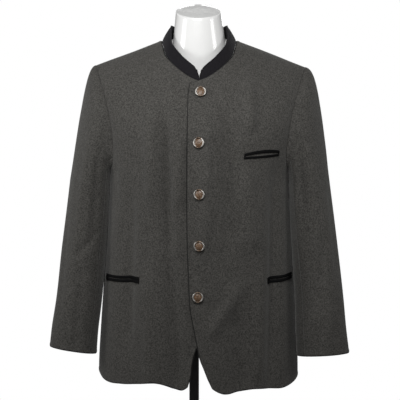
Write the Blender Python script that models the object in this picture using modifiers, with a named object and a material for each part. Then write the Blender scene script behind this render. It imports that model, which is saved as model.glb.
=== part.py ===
import bpy
import bmesh
import math
import numpy as np
from mathutils import Vector, Matrix
from mathutils.bvhtree import BVHTree

for old in list(bpy.data.objects):
    bpy.data.objects.remove(old, do_unlink=True)

# Driving sizes in metres. The front of the blazer looks along -Y and +X is the wearer's left.
BODY_WALL = 0.0024
SLEEVE_WALL = 0.0022
COLLAR_WALL = 0.0028
SEAM_GAP = 0.0003
SEAM_STRIP = 0.12
SHOULDER_STRIP = 0.003

NECK_POINT_X = 0.0828
NECK_POINT_Z = 1.0098
SHOULDER_POINT_X = 0.2312
SHOULDER_FALL = 0.380
SHOULDER_SHIFT = 0.0028
SHOULDER_TILT = 0.0020
SHOULDER_SEAM_Y = 0.010
SHOULDER_ROUND_NECK = 0.215
SHOULDER_ROUND_ARM = 0.145
UNDERARM_Z = 0.722

UNDERLAP_DEPTH = 0.0048
UNDERLAP_START_X = -0.062
UNDERLAP_END_X = -0.034

BODY_COLUMNS = 14
SIDE_ROWS = 13
ARM_SEGMENTS = 9
FRONT_NECK_ROWS = 5
BACK_NECK_ROWS = 4

FORM_CLEARANCE = 0.0012
FORM_BOTTOM_Z = 0.385
FORM_SHOULDER_Z = 0.860
FORM_COLUMNS = 36
NECK_RING_RADIUS = 0.0620
NECK_RING_DEPTH = 0.0510
NECK_RING_Y = 0.000
NECK_TOP_Z = 1.0745
NECK_TOP_SLANT = 0.285
NECK_SHIFT_X = -0.0015

SHARP_ANGLE = math.radians(35)

POLE_RADIUS = 0.0110
POLE_X = -0.0115
BASE_RADIUS = 0.150
BASE_THICKNESS = 0.009
BASE_Y = -0.012

CENTRE_X = 0.0020
CENTRE_Y = 0.0025

BUTTON_RADIUS = 0.0120
BUTTON_HEIGHTS = (0.9030, 0.7990, 0.6900, 0.5790, 0.4670)
BUTTON_X = (0.0030, 0.0000, 0.0010, 0.0008, -0.0030)

# Level sections of the body. The side seams lie at y = 0.
BODY_SECTIONS = (
    ("height", "half_width", "front", "back", "squareness", "sway"),
    (0.240, 0.2262, 0.1520, 0.1450, 2.40, -0.0020),
    (0.300, 0.2250, 0.1545, 0.1470, 2.40, -0.0018),
    (0.360, 0.2215, 0.1560, 0.1480, 2.40, -0.0014),
    (0.430, 0.2168, 0.1565, 0.1460, 2.40, -0.0010),
    (0.500, 0.2120, 0.1570, 0.1430, 2.40, -0.0005),
    (0.580, 0.2062, 0.1580, 0.1420, 2.37, 0.0000),
    (0.660, 0.2015, 0.1590, 0.1490, 2.34, 0.0000),
    (0.722, 0.2005, 0.1580, 0.1570, 2.34, 0.0000),
    (0.800, 0.2110, 0.1535, 0.1625, 2.34, 0.0000),
    (0.860, 0.2230, 0.1440, 0.1610, 2.34, 0.0000),
    (0.920, 0.2350, 0.1330, 0.1550, 2.34, 0.0000),
    (0.960, 0.2430, 0.1230, 0.1500, 2.34, 0.0000),
    (1.040, 0.2550, 0.0980, 0.1380, 2.34, 0.0000),
)

# Armhole seams as angles round the section, 0 at the middle and 90 at the side seam.
ARMHOLE = (
    ("step", "height", "front_angle", "back_angle"),
    (0.0, 0.7220, 90.0, 90.0),
    (0.7, 0.7260, 79.0, 78.0),
    (1.4, 0.7380, 70.0, 68.0),
    (2.4, 0.7700, 64.0, 61.0),
    (3.4, 0.8100, 62.0, 57.5),
    (4.4, 0.8550, 61.5, 57.0),
    (5.4, 0.8950, 64.0, 60.0),
    (6.2, 0.9250, 67.0, 64.5),
)

# Neck edges, from the middle of the body out to the neck point.
FRONT_NECKLINE = (
    ("across", "height"),
    (-0.0210, 0.9215),
    (0.0000, 0.9285),
    (0.0184, 0.9358),
    (0.0315, 0.9436),
    (0.0483, 0.9557),
    (0.0631, 0.9688),
    (0.0750, 0.9842),
)
BACK_NECKLINE = (
    ("across", "height"),
    (0.0000, 0.9880),
    (0.0300, 0.9890),
    (0.0600, 0.9935),
)

# Front edges: the left front laps over the right front and both are cut away low down.
LEFT_EDGE = (
    ("height", "across"),
    (0.2618, 0.0300),
    (0.2822, 0.0204),
    (0.3048, 0.0117),
    (0.3273, 0.0028),
    (0.3541, -0.0030),
    (0.3897, -0.0101),
    (0.4427, -0.0196),
    (0.5000, -0.0230),
    (0.5600, -0.0258),
    (0.7500, -0.0268),
    (0.8543, -0.0255),
    (0.9038, -0.0238),
    (0.9215, -0.0210),
)
RIGHT_EDGE = (
    ("height", "across"),
    (0.2640, 0.0232),
    (0.2864, 0.0167),
    (0.3220, 0.0122),
    (0.3487, 0.0048),
    (0.3800, -0.0130),
    (0.4300, -0.0270),
    (0.5000, -0.0320),
    (0.8543, -0.0310),
    (0.9038, -0.0260),
    (0.9215, -0.0210),
)
LEFT_HEM = (
    ("across", "height"),
    (0.0300, 0.2618),
    (0.0408, 0.2545),
    (0.0517, 0.2500),
    (0.0886, 0.2532),
    (0.1214, 0.2580),
    (0.1547, 0.2546),
    (0.1873, 0.2502),
    (0.2240, 0.2572),
)
RIGHT_HEM = (
    ("across", "height"),
    (0.0232, 0.2640),
    (0.0335, 0.2572),
    (0.0525, 0.2608),
    (0.0700, 0.2675),
    (0.0900, 0.2733),
    (0.1300, 0.2686),
    (0.1700, 0.2630),
    (0.2100, 0.2615),
    (0.2280, 0.2690),
)
BACK_HEM_DIP = 0.004

# Soft folds of the fronts and the back: a line from one point to another in the front view.
FRONT_FOLDS = (
    ("x0", "z0", "x1", "z1", "width", "height"),
    (-0.104, 0.875, -0.098, 0.660, 0.020, 0.0032),
    (-0.076, 0.870, -0.064, 0.540, 0.015, -0.0040),
    (-0.064, 0.560, -0.046, 0.250, 0.018, -0.0036),
    (-0.040, 0.800, -0.044, 0.680, 0.013, 0.0022),
    (-0.110, 0.520, -0.100, 0.240, 0.024, 0.0036),
    (-0.150, 0.700, -0.158, 0.330, 0.018, -0.0040),
    (0.104, 0.930, 0.118, 0.830, 0.018, 0.0026),
    (0.062, 0.860, 0.078, 0.660, 0.016, -0.0040),
    (0.098, 0.780, 0.116, 0.560, 0.020, 0.0034),
    (0.168, 0.770, 0.160, 0.240, 0.018, -0.0050),
    (0.100, 0.500, 0.020, 0.375, 0.015, 0.0034),
    (0.074, 0.420, 0.086, 0.240, 0.020, -0.0034),
    (0.122, 0.450, 0.124, 0.240, 0.020, 0.0032),
    (0.014, 0.830, 0.010, 0.560, 0.016, 0.0020),
)
BACK_FOLDS = (
    ("x0", "z0", "x1", "z1", "width", "height"),
    (-0.150, 0.830, -0.130, 0.560, 0.020, 0.0036),
    (-0.112, 0.860, -0.092, 0.500, 0.017, -0.0036),
    (-0.060, 0.640, -0.070, 0.240, 0.020, 0.0032),
    (-0.128, 0.480, -0.140, 0.240, 0.022, -0.0040),
    (0.154, 0.820, 0.132, 0.570, 0.020, 0.0034),
    (0.108, 0.850, 0.090, 0.520, 0.018, -0.0038),
    (0.058, 0.600, 0.066, 0.240, 0.020, 0.0034),
    (0.132, 0.470, 0.144, 0.240, 0.022, -0.0040),
)

# Sleeve sections below the cap. "out" is the distance of the middle from the centre line.
RIGHT_SLEEVE = (
    ("height", "out", "y", "half_width", "half_depth", "lean", "rise"),
    (0.3268, 0.2816, -0.060, 0.0513, 0.0430, 8.0, 0.165),
    (0.3690, 0.2777, -0.056, 0.0507, 0.0455, 8.0, 0.13),
    (0.4360, 0.2676, -0.049, 0.0504, 0.0500, 8.0, 0.10),
    (0.5470, 0.2563, -0.034, 0.0494, 0.0580, 9.0, 0.10),
    (0.6570, 0.2457, -0.016, 0.0463, 0.0680, 10.0, 0.09),
    (0.7000, 0.2422, -0.009, 0.0448, 0.0745, 10.0, 0.08),
)
LEFT_SLEEVE = (
    ("height", "out", "y", "half_width", "half_depth", "lean", "rise"),
    (0.3214, 0.2744, -0.078, 0.0579, 0.0430, 8.0, 0.07),
    (0.3740, 0.2694, -0.073, 0.0562, 0.0465, 8.0, 0.08),
    (0.4400, 0.2656, -0.064, 0.0538, 0.0500, 8.0, 0.09),
    (0.5500, 0.2562, -0.044, 0.0510, 0.0580, 9.0, 0.10),
    (0.6570, 0.2467, -0.020, 0.0480, 0.0680, 10.0, 0.09),
    (0.7000, 0.2432, -0.010, 0.0462, 0.0745, 10.0, 0.08),
)
SLEEVE_ROWS = 12
SLEEVE_PITCH = 0.13
CAP_STEPS = (0.0, 0.025, 0.12, 0.24, 0.38, 0.54, 0.76)
CAP_GAP = 0.0005
UNDERARM_GAP = 0.0006
CAP_OUT = 0.0168
CAP_OUT_SHIFT = 0.0088
CAP_TOP_RISE = -0.0034
SLEEVE_CLEARANCE = 0.0011
SLEEVE_PRESS_TOP = 0.018
UPPER_SLEEVE_REACH = 6

# Soft folds of the sleeves: angle round the sleeve (0 outward, 90 front) and height.
RIGHT_SLEEVE_FOLDS = (
    ("a0", "z0", "a1", "z1", "width", "height"),
    (62.0, 0.850, 60.0, 0.500, 0.012, 0.0030),
    (95.0, 0.800, 100.0, 0.560, 0.014, -0.0034),
    (84.0, 0.520, 92.0, 0.330, 0.016, -0.0030),
    (120.0, 0.600, 60.0, 0.540, 0.011, -0.0024),
    (20.0, 0.640, 35.0, 0.400, 0.016, -0.0024),
    (-60.0, 0.620, -120.0, 0.560, 0.012, -0.0030),
    (-80.0, 0.760, -95.0, 0.430, 0.016, -0.0030),
)
LEFT_SLEEVE_FOLDS = (
    ("a0", "z0", "a1", "z1", "width", "height"),
    (120.0, 0.840, 124.0, 0.520, 0.012, 0.0028),
    (96.0, 0.820, 100.0, 0.640, 0.013, -0.0036),
    (50.0, 0.600, 98.0, 0.430, 0.014, -0.0032),
    (60.0, 0.480, 70.0, 0.330, 0.016, 0.0024),
    (15.0, 0.700, 30.0, 0.500, 0.016, -0.0024),
    (-60.0, 0.620, -120.0, 0.570, 0.012, -0.0030),
    (-85.0, 0.770, -98.0, 0.450, 0.016, -0.0030),
)

# The stand collar along its seam, from the middle of the front to the middle of the back.
COLLAR = (
    ("along", "tall", "lean_in"),
    (0.00, 0.0200, 0.012),
    (0.06, 0.0245, 0.013),
    (0.18, 0.0255, 0.0135),
    (0.40, 0.0265, 0.0135),
    (0.56, 0.0312, 0.0185),
    (0.66, 0.0342, 0.0195),
    (1.00, 0.0440, 0.010),
)
COLLAR_COLUMNS = 20
COLLAR_ROWS = (0.0, 0.10, 0.55, 1.0)
COLLAR_END_GAP = 0.0009
COLLAR_LIFT = 0.0013
COLLAR_SET_IN = 0.0012
COLLAR_END_ROUND = 0.0045

# Jetted pockets: ends of the opening and its middle height at each end.
BREAST_POCKET = ((0.0950, 0.7685), (0.1715, 0.7708), 0.0120)
LEFT_POCKET = ((0.1475, 0.4955), (0.2030, 0.4970), 0.0145)
RIGHT_POCKET = ((-0.1290, 0.4997), (-0.2040, 0.4930), 0.0140)
POCKET_COLUMNS = 16
POCKET_WALL = 0.0011
POCKET_LIFT = 0.0006
POCKET_SLIT = 0.14
POCKET_END = 0.035

# Level sections of the torso form under its shoulders.
FORM_SECTIONS = (
    ("height", "half_width", "front", "back"),
    (0.385, 0.150, 0.104, 0.100),
    (0.400, 0.163, 0.117, 0.113),
    (0.440, 0.171, 0.123, 0.122),
    (0.500, 0.166, 0.120, 0.120),
    (0.560, 0.161, 0.118, 0.114),
    (0.640, 0.164, 0.126, 0.118),
    (0.720, 0.172, 0.130, 0.128),
    (0.800, 0.182, 0.126, 0.135),
    (0.860, 0.190, 0.112, 0.132),
)
FORM_BOTTOM = ((0.62, 0.0), (0.90, 0.0015), (1.0, 0.008))
FORM_LEVELS = (0.420, 0.460, 0.510, 0.560, 0.620, 0.680, 0.740, 0.800, 0.840)
FORM_TOP_SHARES = (0.02, 0.07, 0.16, 0.30, 0.46, 0.62, 0.80, 1.0)
NECK_SHARES = (0.25, 0.50, 0.75, 0.97, 1.0)
NECK_EDGE_ROUND = 0.0025
FORM_SQUARENESS = 2.3
FORM_FRONT_HOLLOW = 0.13
NECK_SECTIONS = (
    ("height", "half_width", "half_depth"),
    (0.960, 0.0620, 0.0510),
    (0.990, 0.0600, 0.0510),
    (1.015, 0.0570, 0.0505),
    (1.041, 0.0535, 0.0495),
    (1.055, 0.0517, 0.0490),
    (1.080, 0.0488, 0.0480),
)

part_collection = bpy.data.collections.new("blazer_on_dress_form")
bpy.context.scene.collection.children.link(part_collection)


def read(table, name, key):
    """Smooth value of the named column at the given values of the first column."""
    place = table[0].index(name)
    keys = np.array([row[0] for row in table[1:]])
    values = np.array([row[place] for row in table[1:]])
    slopes = np.gradient(values, keys)
    key = np.clip(np.asarray(key, dtype=float), keys[0], keys[-1])
    low = np.clip(np.searchsorted(keys, key) - 1, 0, len(keys) - 2)
    step = keys[low + 1] - keys[low]
    t = (key - keys[low]) / step
    start = (2 * t**3 - 3 * t**2 + 1) * values[low] + (t**3 - 2 * t**2 + t) * step * slopes[low]
    end = (3 * t**2 - 2 * t**3) * values[low + 1] + (t**3 - t**2) * step * slopes[low + 1]
    return start + end


def ease(t):
    """Smooth step from 0 to 1."""
    t = np.clip(t, 0.0, 1.0)
    return t * t * (3 - 2 * t)


def fold_sum(table, across, height, scale=1.0):
    """Sum of soft ridges and troughs at the given places of the front view or of a sleeve."""
    total = np.zeros(np.broadcast(across, height).shape)
    for a0, z0, a1, z1, width, depth in table[1:]:
        da = (a1 - a0) * scale
        dz = z1 - z0
        length = math.hypot(da, dz)
        pa = (across - a0) * scale
        pz = height - z0
        along = (pa * da + pz * dz) / length**2
        beside = (pa * dz - pz * da) / length
        fade = ease((along + 0.10) / 0.30) * ease((1.10 - along) / 0.30)
        total = total + depth * fade * np.exp(-((beside / width) ** 2))
    return total


def shoulder_height(across):
    """Height of the shoulder seam line, level over the middle of the neck."""
    share = np.abs(across) / NECK_POINT_X
    soft = np.where(share < 1.0, 0.5 + 0.5 * share**2, share)
    return NECK_POINT_Z - (soft - 1.0) * NECK_POINT_X * SHOULDER_FALL


def shoulder_shift(across, height):
    """How far the shoulders lie towards the wearer's left on the form."""
    return SHOULDER_SHIFT * ease((np.abs(across) - 0.09) / 0.10) * ease((height - 0.70) / 0.15)


def shoulder_drop(across, height):
    """How far the shoulder ends lie lower on the wearer's left and higher on the right."""
    return SHOULDER_TILT * ease((np.abs(across) - 0.12) / 0.10) * ease((height - 0.80) / 0.14)


def angle_at(across, height):
    """Angle round the section whose point lies at this distance from the centre line."""
    share = np.clip(np.abs(across) / read(BODY_SECTIONS, "half_width", height), 0.0, 1.0)
    power = read(BODY_SECTIONS, "squareness", height) / 2
    return np.sign(across) * np.arcsin(share**power)


def body_point(angle, height, face):
    """Point of the cloth's outer side. face is "front" or "back", angle is below 90 degrees."""
    power = 2 / read(BODY_SECTIONS, "squareness", height)
    sine = np.sin(angle)
    cosine = np.maximum(np.cos(angle), 0.0)
    x = read(BODY_SECTIONS, "half_width", height) * np.sign(sine) * np.abs(sine) ** power
    turn = -1.0 if face == "front" else 1.0
    y = turn * read(BODY_SECTIONS, face, height) * cosine**power
    reach = SHOULDER_ROUND_NECK + (SHOULDER_ROUND_ARM - SHOULDER_ROUND_NECK) * ease(
        (np.abs(x) - NECK_POINT_X) / (SHOULDER_POINT_X - NECK_POINT_X)
    )
    drop = np.clip((shoulder_height(x) - height) / reach, 0.0, 1.0)
    round_off = (1 - (1 - drop) ** 2) ** (1 / 1.5)
    y = SHOULDER_SEAM_Y + (y - SHOULDER_SEAM_Y) * round_off
    return x, y


def resample(points, segments):
    """Points at equal steps along a dense line given as (angle, height, x, y, z) rows."""
    points = np.asarray(points)
    steps = np.linalg.norm(np.diff(points[:, 2:5], axis=0), axis=1)
    travel = np.concatenate(([0.0], np.cumsum(steps)))
    wanted = np.linspace(0.0, travel[-1], segments + 1)
    return np.stack([np.interp(wanted, travel, points[:, k]) for k in range(5)], axis=1)


def border_rows(angle, height, face):
    """Angle, height and place of points on a border of a body panel."""
    x, y = body_point(angle, height, face)
    return np.stack([angle, height, x, y, height], axis=1)


def neck_border(table, face, segments):
    """Neck edge of one panel from its inner end to the neck point."""
    across = np.linspace(table[1][0], NECK_POINT_X, 80)
    full = table + ((NECK_POINT_X, NECK_POINT_Z),)
    height = read(full, "height", across)
    return resample(border_rows(angle_at(across, height), height, face), segments)


def shoulder_border(face):
    """Shoulder seam from the neck point to the shoulder point."""
    across = np.linspace(NECK_POINT_X, SHOULDER_POINT_X, 60)
    height = shoulder_height(across)
    return resample(border_rows(angle_at(across, height), height, face), BODY_COLUMNS)


def armhole_border(face):
    """Armhole from the shoulder point down to the underarm point."""
    top_z = float(shoulder_height(SHOULDER_POINT_X))
    top_angle = math.degrees(float(angle_at(SHOULDER_POINT_X, top_z)))
    full = ARMHOLE + ((7.0, top_z, top_angle, top_angle),)
    step = np.linspace(7.0, 0.0, 160)
    height = read(full, "height", step)
    angle = np.radians(read(full, face + "_angle", step))
    return resample(border_rows(angle, height, face), ARM_SEGMENTS)


def with_strips(count):
    """Places 0 to count along a border with one more place close to each end."""
    inner = [float(k) for k in range(1, count)]
    return np.array([0.0, SEAM_STRIP] + inner + [count - SEAM_STRIP, float(count)])


def hem_border(table, face, segments):
    """Hem of one panel from its inner corner to the side seam."""
    inner = table[1][0] if face == "front" else 0.0
    last = table[-1][1]
    low = float(angle_at(inner, table[1][1]))
    angle = np.linspace(low, math.pi / 2, 200)
    height = np.full_like(angle, last)
    for _ in range(4):
        x, y = body_point(angle, height, face)
        if face == "front":
            height = read(table, "height", np.clip(x, inner, table[-1][0]))
            height = height + (last - height) * ease((angle - 1.2) / 0.37)
        else:
            height = last - BACK_HEM_DIP * np.cos(angle) ** 2
    return resample(border_rows(angle, height, face), segments)


def outer_border(table, face):
    """Side seam from the hem up, then the armhole up to the shoulder point."""
    height = np.linspace(table[-1][1], UNDERARM_Z, SIDE_ROWS + 1)
    angle = np.full_like(height, math.pi / 2)
    seam = border_rows(angle, height, face)
    return np.concatenate([seam, armhole_border(face)[::-1][1:]])


def inner_border(hem, edge, neckline, face):
    """Front edge or centre seam from the hem up, then the neck edge to the neck point."""
    neck_rows = FRONT_NECK_ROWS if face == "front" else BACK_NECK_ROWS
    corner = hem[1][1] if face == "front" else hem[-1][1] - BACK_HEM_DIP
    low = np.linspace(corner, UNDERARM_Z, SIDE_ROWS + 1)
    high = np.linspace(UNDERARM_Z, neckline[1][1], ARM_SEGMENTS - neck_rows + 1)[1:]
    height = np.concatenate([low, high])
    if face == "front":
        angle = angle_at(read(edge, "across", height), height)
    else:
        angle = np.zeros_like(height)
    line = border_rows(angle, height, face)
    return np.concatenate([line, neck_border(neckline, face, neck_rows)[1:]])


def panel_surface(side, face, hem, edge, neckline):
    """Points of a panel: rows from the hem to the shoulder, columns from the inner edge out."""
    low = hem_border(hem, face, BODY_COLUMNS)
    high = shoulder_border(face)
    inner = inner_border(hem, edge, neckline, face)
    outer = outer_border(hem, face)
    count = len(inner) - 1
    rows = with_strips(count)
    columns = with_strips(BODY_COLUMNS)
    u = (columns / BODY_COLUMNS)[None, :]
    level = (inner[:, 1] + outer[:, 1]) / 2
    level = (level - level[0]) / (level[-1] - level[0])
    v = np.interp(rows, np.arange(count + 1), level)[:, None]
    blended = []
    for k in (0, 1):
        bottom = np.interp(columns, np.arange(BODY_COLUMNS + 1), low[:, k])[None, :]
        top = np.interp(columns, np.arange(BODY_COLUMNS + 1), high[:, k])[None, :]
        left = np.interp(rows, np.arange(count + 1), inner[:, k])[:, None]
        right = np.interp(rows, np.arange(count + 1), outer[:, k])[:, None]
        corners = (1 - v) * ((1 - u) * low[0, k] + u * low[-1, k])
        corners = corners + v * ((1 - u) * high[0, k] + u * high[-1, k])
        blended.append((1 - v) * bottom + v * top + (1 - u) * left + u * right - corners)
    angle, height = blended
    x, y = body_point(angle, height, face)
    near_side = ease((BODY_COLUMNS - columns[None, :]) / 2.5)
    near_top = ease((count - rows[:, None]) / 1.5)
    folds = FRONT_FOLDS if face == "front" else BACK_FOLDS
    push = fold_sum(folds, x * side, height) * near_side * near_top
    turn = -1.0 if face == "front" else 1.0
    shift = read(BODY_SECTIONS, "sway", height) + shoulder_shift(x, height)
    drop = shoulder_drop(x, height) * side
    x = x * side + push * np.sin(angle) * side + shift
    y = y + turn * push * np.cos(angle) + turn * SEAM_GAP / 2
    points = np.stack([x, y, height - drop], axis=2)
    points[-2] = points[-1] + np.array([0.0, turn * SHOULDER_STRIP, 0.0])
    return points


def front_panel(side):
    """Surface of one front, side +1 for the wearer's left and -1 for the right."""
    hem = LEFT_HEM if side > 0 else RIGHT_HEM
    edge = LEFT_EDGE if side > 0 else RIGHT_EDGE
    points = panel_surface(side, "front", hem, edge, FRONT_NECKLINE)
    if side < 0:
        under = ease((points[:, :, 0] - UNDERLAP_START_X) / (UNDERLAP_END_X - UNDERLAP_START_X))
        points[:, :, 1] = points[:, :, 1] + UNDERLAP_DEPTH * under
    return points


def back_panel(side):
    """Surface of one half of the back, from the centre seam to the side seam."""
    hem = LEFT_HEM if side > 0 else RIGHT_HEM
    points = panel_surface(side, "back", hem, None, BACK_NECKLINE)
    near_centre = ease(1 - with_strips(BODY_COLUMNS) / 1.5)[None, :]
    points[:, :, 0] = points[:, :, 0] + near_centre * SEAM_GAP / 2 * side
    return points


def collar_path():
    """Dense half of the neck seam, from the middle of the front to the middle of the back."""
    across = np.linspace(0.0, NECK_POINT_X, 60)
    full = FRONT_NECKLINE + ((NECK_POINT_X, NECK_POINT_Z),)
    height = read(full, "height", across)
    x, y = body_point(angle_at(across, height), height, "front")
    front = np.stack([x, y, height], axis=1)
    full = BACK_NECKLINE + ((NECK_POINT_X, NECK_POINT_Z),)
    across = np.linspace(NECK_POINT_X, 0.0, 60)[1:]
    height = read(full, "height", across)
    x, y = body_point(angle_at(across, height), height, "back")
    back = np.stack([x, y, height], axis=1)
    path = np.concatenate([front, back])
    travel = np.concatenate(([0.0], np.cumsum(np.linalg.norm(np.diff(path, axis=0), axis=1))))
    return path, travel / travel[-1]


def collar_surface(shares, rows):
    """Points of the whole band, columns from the right end round the back to the left end."""
    path, travel = collar_path()
    centre = np.array([0.0, NECK_RING_Y, 0.0])
    half = np.stack([np.interp(shares, travel, path[:, k]) for k in range(3)], axis=1)
    tall = read(COLLAR, "tall", shares)
    lean = read(COLLAR, "lean_in", shares)
    inward = centre[None, :] - half * np.array([1.0, 1.0, 0.0])
    inward = inward / np.linalg.norm(inward, axis=1)[:, None]
    bands = []
    for side in (-1.0, 1.0):
        grid = np.zeros((len(rows), len(shares), 3))
        for k, share in enumerate(rows):
            rise = share * tall + COLLAR_LIFT * (1 - 0.3 * shares)
            grid[k] = half + inward * (lean * share**1.2 + COLLAR_SET_IN * (1 + shares))[:, None]
            grid[k, :, 2] = half[:, 2] + rise
        end_slope = COLLAR_END_GAP + COLLAR_END_ROUND * np.array(rows)[:, None] ** 2
        end_share = ease(1 - shares / 0.05)[None, :]
        grid[:, :, 0] = grid[:, :, 0] + end_slope * end_share
        grid[:, :, 0] = grid[:, :, 0] * side
        bands.append(grid)
    right = bands[0]
    left = bands[1][:, ::-1]
    return np.concatenate([right, left[:, 1:]], axis=1)


def sleeve_section(table, height, angle):
    """Point of the sleeve tube, angle 0 outward and 90 degrees to the front."""
    lean = np.radians(read(table, "lean", height))
    wide = read(table, "half_width", height) * np.cos(angle)
    deep = -read(table, "half_depth", height) * np.sin(angle)
    out = wide * np.cos(lean) + deep * np.sin(lean)
    y = read(table, "y", height) + deep * np.cos(lean) - wide * np.sin(lean)
    z = height + read(table, "rise", height) * out - SLEEVE_PITCH * (y - read(table, "y", height))
    return read(table, "out", height) + out, y, z


def armhole_ring():
    """Armhole of the +X side: shoulder point, down the front, underarm, up the back."""
    front = armhole_border("front")[:, 2:5]
    back = armhole_border("back")[:, 2:5]
    return np.concatenate([front, back[::-1][1:-1]])


def clear_of_body(grid, side):
    """The sleeve tube pressed flat where it would run into the body."""
    x, y, z = grid[:, :, 0], grid[:, :, 1], grid[:, :, 2]
    power = read(BODY_SECTIONS, "squareness", z)
    deep = np.where(y < 0, read(BODY_SECTIONS, "front", z), read(BODY_SECTIONS, "back", z))
    room = np.maximum(1 - (np.abs(y) / deep) ** power, 0.0) ** (1 / power)
    shift = read(BODY_SECTIONS, "sway", z) + shoulder_shift(x, z)
    limit = read(BODY_SECTIONS, "half_width", z) * room + shift * side
    near = z < UNDERARM_Z + SLEEVE_PRESS_TOP
    grid[:, :, 0] = np.where(near, np.maximum(x, limit + SLEEVE_CLEARANCE), x)
    return grid


def sleeve_surface(side, cap_steps, rows):
    """Points of the closed sleeve tube: rows from the armhole to the cuff."""
    table = LEFT_SLEEVE if side > 0 else RIGHT_SLEEVE
    folds = LEFT_SLEEVE_FOLDS if side > 0 else RIGHT_SLEEVE_FOLDS
    ring = armhole_ring()
    count = len(ring)
    angle = np.arange(count) * 2 * math.pi / count
    top_z = table[-1][0]
    low_z = table[1][0]
    x, y, z = sleeve_section(table, top_z, angle)
    base = np.stack([x, y, z], axis=1)
    x, y, z = sleeve_section(table, top_z - 0.05, angle)
    upward = base - np.stack([x, y, z], axis=1)
    upward = upward / upward[:, 2:3]
    start = ring.copy()
    low_end = np.clip(-np.cos(angle), 0.0, 1.0)
    drop = shoulder_drop(start[:, 0], start[:, 2]) * side
    start[:, 0] = start[:, 0] + shoulder_shift(start[:, 0], start[:, 2]) * side
    start[:, 2] = start[:, 2] - drop
    start[:, 0] = start[:, 0] + CAP_GAP + UNDERARM_GAP * low_end
    climb = (start[:, 2] - base[:, 2]) * 0.94
    turn = base + upward * climb[:, None]
    turn[:, 1] = 0.5 * (start[:, 1] + base[:, 1]) * 1.04
    topness = np.clip(np.cos(angle), 0.0, 1.0) ** 2
    out = CAP_OUT + CAP_OUT_SHIFT * side
    turn[:, 0] = turn[:, 0] + (start[:, 0] + out - turn[:, 0]) * topness * 0.5
    turn[:, 2] = turn[:, 2] + (start[:, 2] + CAP_TOP_RISE - turn[:, 2]) * topness
    first = start + (turn - start) * 0.90
    second = turn + (base - turn) * 0.17
    grid = []
    for t in cap_steps:
        grid.append(
            (1 - t) ** 3 * start + 3 * (1 - t) ** 2 * t * first + 3 * (1 - t) * t**2 * second + t**3 * base
        )
    for share in rows:
        height = top_z + (low_z - top_z) * share
        x, y, z = sleeve_section(table, height, angle)
        grid.append(np.stack([x, y, z], axis=1))
    grid = np.array(grid)
    degrees = np.degrees(np.where(angle > math.pi, angle - 2 * math.pi, angle))
    push = fold_sum(folds, degrees[None, :], grid[:, :, 2], scale=0.06 * math.pi / 180)
    fade = np.concatenate([np.array(cap_steps) ** 1.5, np.ones(len(rows))])
    push = push * fade[:, None]
    grid[:, :, 0] = grid[:, :, 0] + push * np.cos(angle)
    grid[:, :, 1] = grid[:, :, 1] - push * np.sin(angle)
    grid = clear_of_body(grid, side)
    grid[:, :, 0] = grid[:, :, 0] * side
    return grid


def material(name, color, roughness, metallic=0.0):
    """A plain shader with the part's colour, roughness and metallic value."""
    shade = bpy.data.materials.new(name)
    shade.use_nodes = True
    principled = shade.node_tree.nodes["Principled BSDF"]
    principled.inputs["Base Color"].default_value = (*color, 1.0)
    principled.inputs["Roughness"].default_value = roughness
    principled.inputs["Metallic"].default_value = metallic
    return shade


def add_object(name, mesh, shade):
    """One named object of the part, in the part's collection."""
    mesh.shade_smooth()
    mesh.set_sharp_from_angle(angle=SHARP_ANGLE)
    obj = bpy.data.objects.new(name, mesh)
    part_collection.objects.link(obj)
    mesh.materials.append(shade)
    return obj


def cloth(name, points, wall, shade, flip, skip=None):
    """A cloth wall: an open grid surface, thickened inward."""
    rows, columns = points.shape[0], points.shape[1]
    bm = bmesh.new()
    verts = [[bm.verts.new(points[r, c]) for c in range(columns)] for r in range(rows)]
    for r in range(rows - 1):
        for c in range(columns - 1):
            if skip and skip(r, c):
                continue
            corners = [verts[r][c], verts[r][c + 1], verts[r + 1][c + 1], verts[r + 1][c]]
            bm.faces.new(corners[::-1] if flip else corners)
    loose = [v for v in bm.verts if not v.link_faces]
    bmesh.ops.delete(bm, geom=loose, context="VERTS")
    mesh = bpy.data.meshes.new(name)
    bm.to_mesh(mesh)
    bm.free()
    obj = add_object(name, mesh, shade)
    thicken = obj.modifiers.new("wall", "SOLIDIFY")
    thicken.thickness = wall
    thicken.offset = -1.0
    return obj


def solid_from_loops(name, loops, shade):
    """A closed solid through loops of equal length, capped at both ends."""
    bm = bmesh.new()
    rings = [[bm.verts.new(p) for p in loop] for loop in loops]
    count = len(rings[0])
    for low, high in zip(rings, rings[1:]):
        for k in range(count):
            nxt = (k + 1) % count
            bm.faces.new((low[k], low[nxt], high[nxt], high[k]))
    bm.faces.new(rings[0][::-1])
    bm.faces.new(rings[-1])
    bmesh.ops.recalc_face_normals(bm, faces=bm.faces)
    mesh = bpy.data.meshes.new(name)
    bm.to_mesh(mesh)
    bm.free()
    return add_object(name, mesh, shade)


def lathe(name, profile, segments, shade, place):
    """A turned solid: the profile in radius and height, outer side from top to bottom."""
    bm = bmesh.new()
    verts = [bm.verts.new((r, 0.0, h)) for r, h in profile]
    edges = [bm.edges.new(pair) for pair in zip(verts, verts[1:])]
    bmesh.ops.spin(
        bm,
        geom=verts + edges,
        cent=(0.0, 0.0, 0.0),
        axis=(0.0, 0.0, 1.0),
        angle=2 * math.pi,
        steps=segments,
        use_merge=True,
    )
    bmesh.ops.remove_doubles(bm, verts=bm.verts, dist=0.00001)
    bmesh.ops.recalc_face_normals(bm, faces=bm.faces)
    bmesh.ops.transform(bm, matrix=place, verts=bm.verts)
    mesh = bpy.data.meshes.new(name)
    bm.to_mesh(mesh)
    bm.free()
    return add_object(name, mesh, shade)


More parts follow.
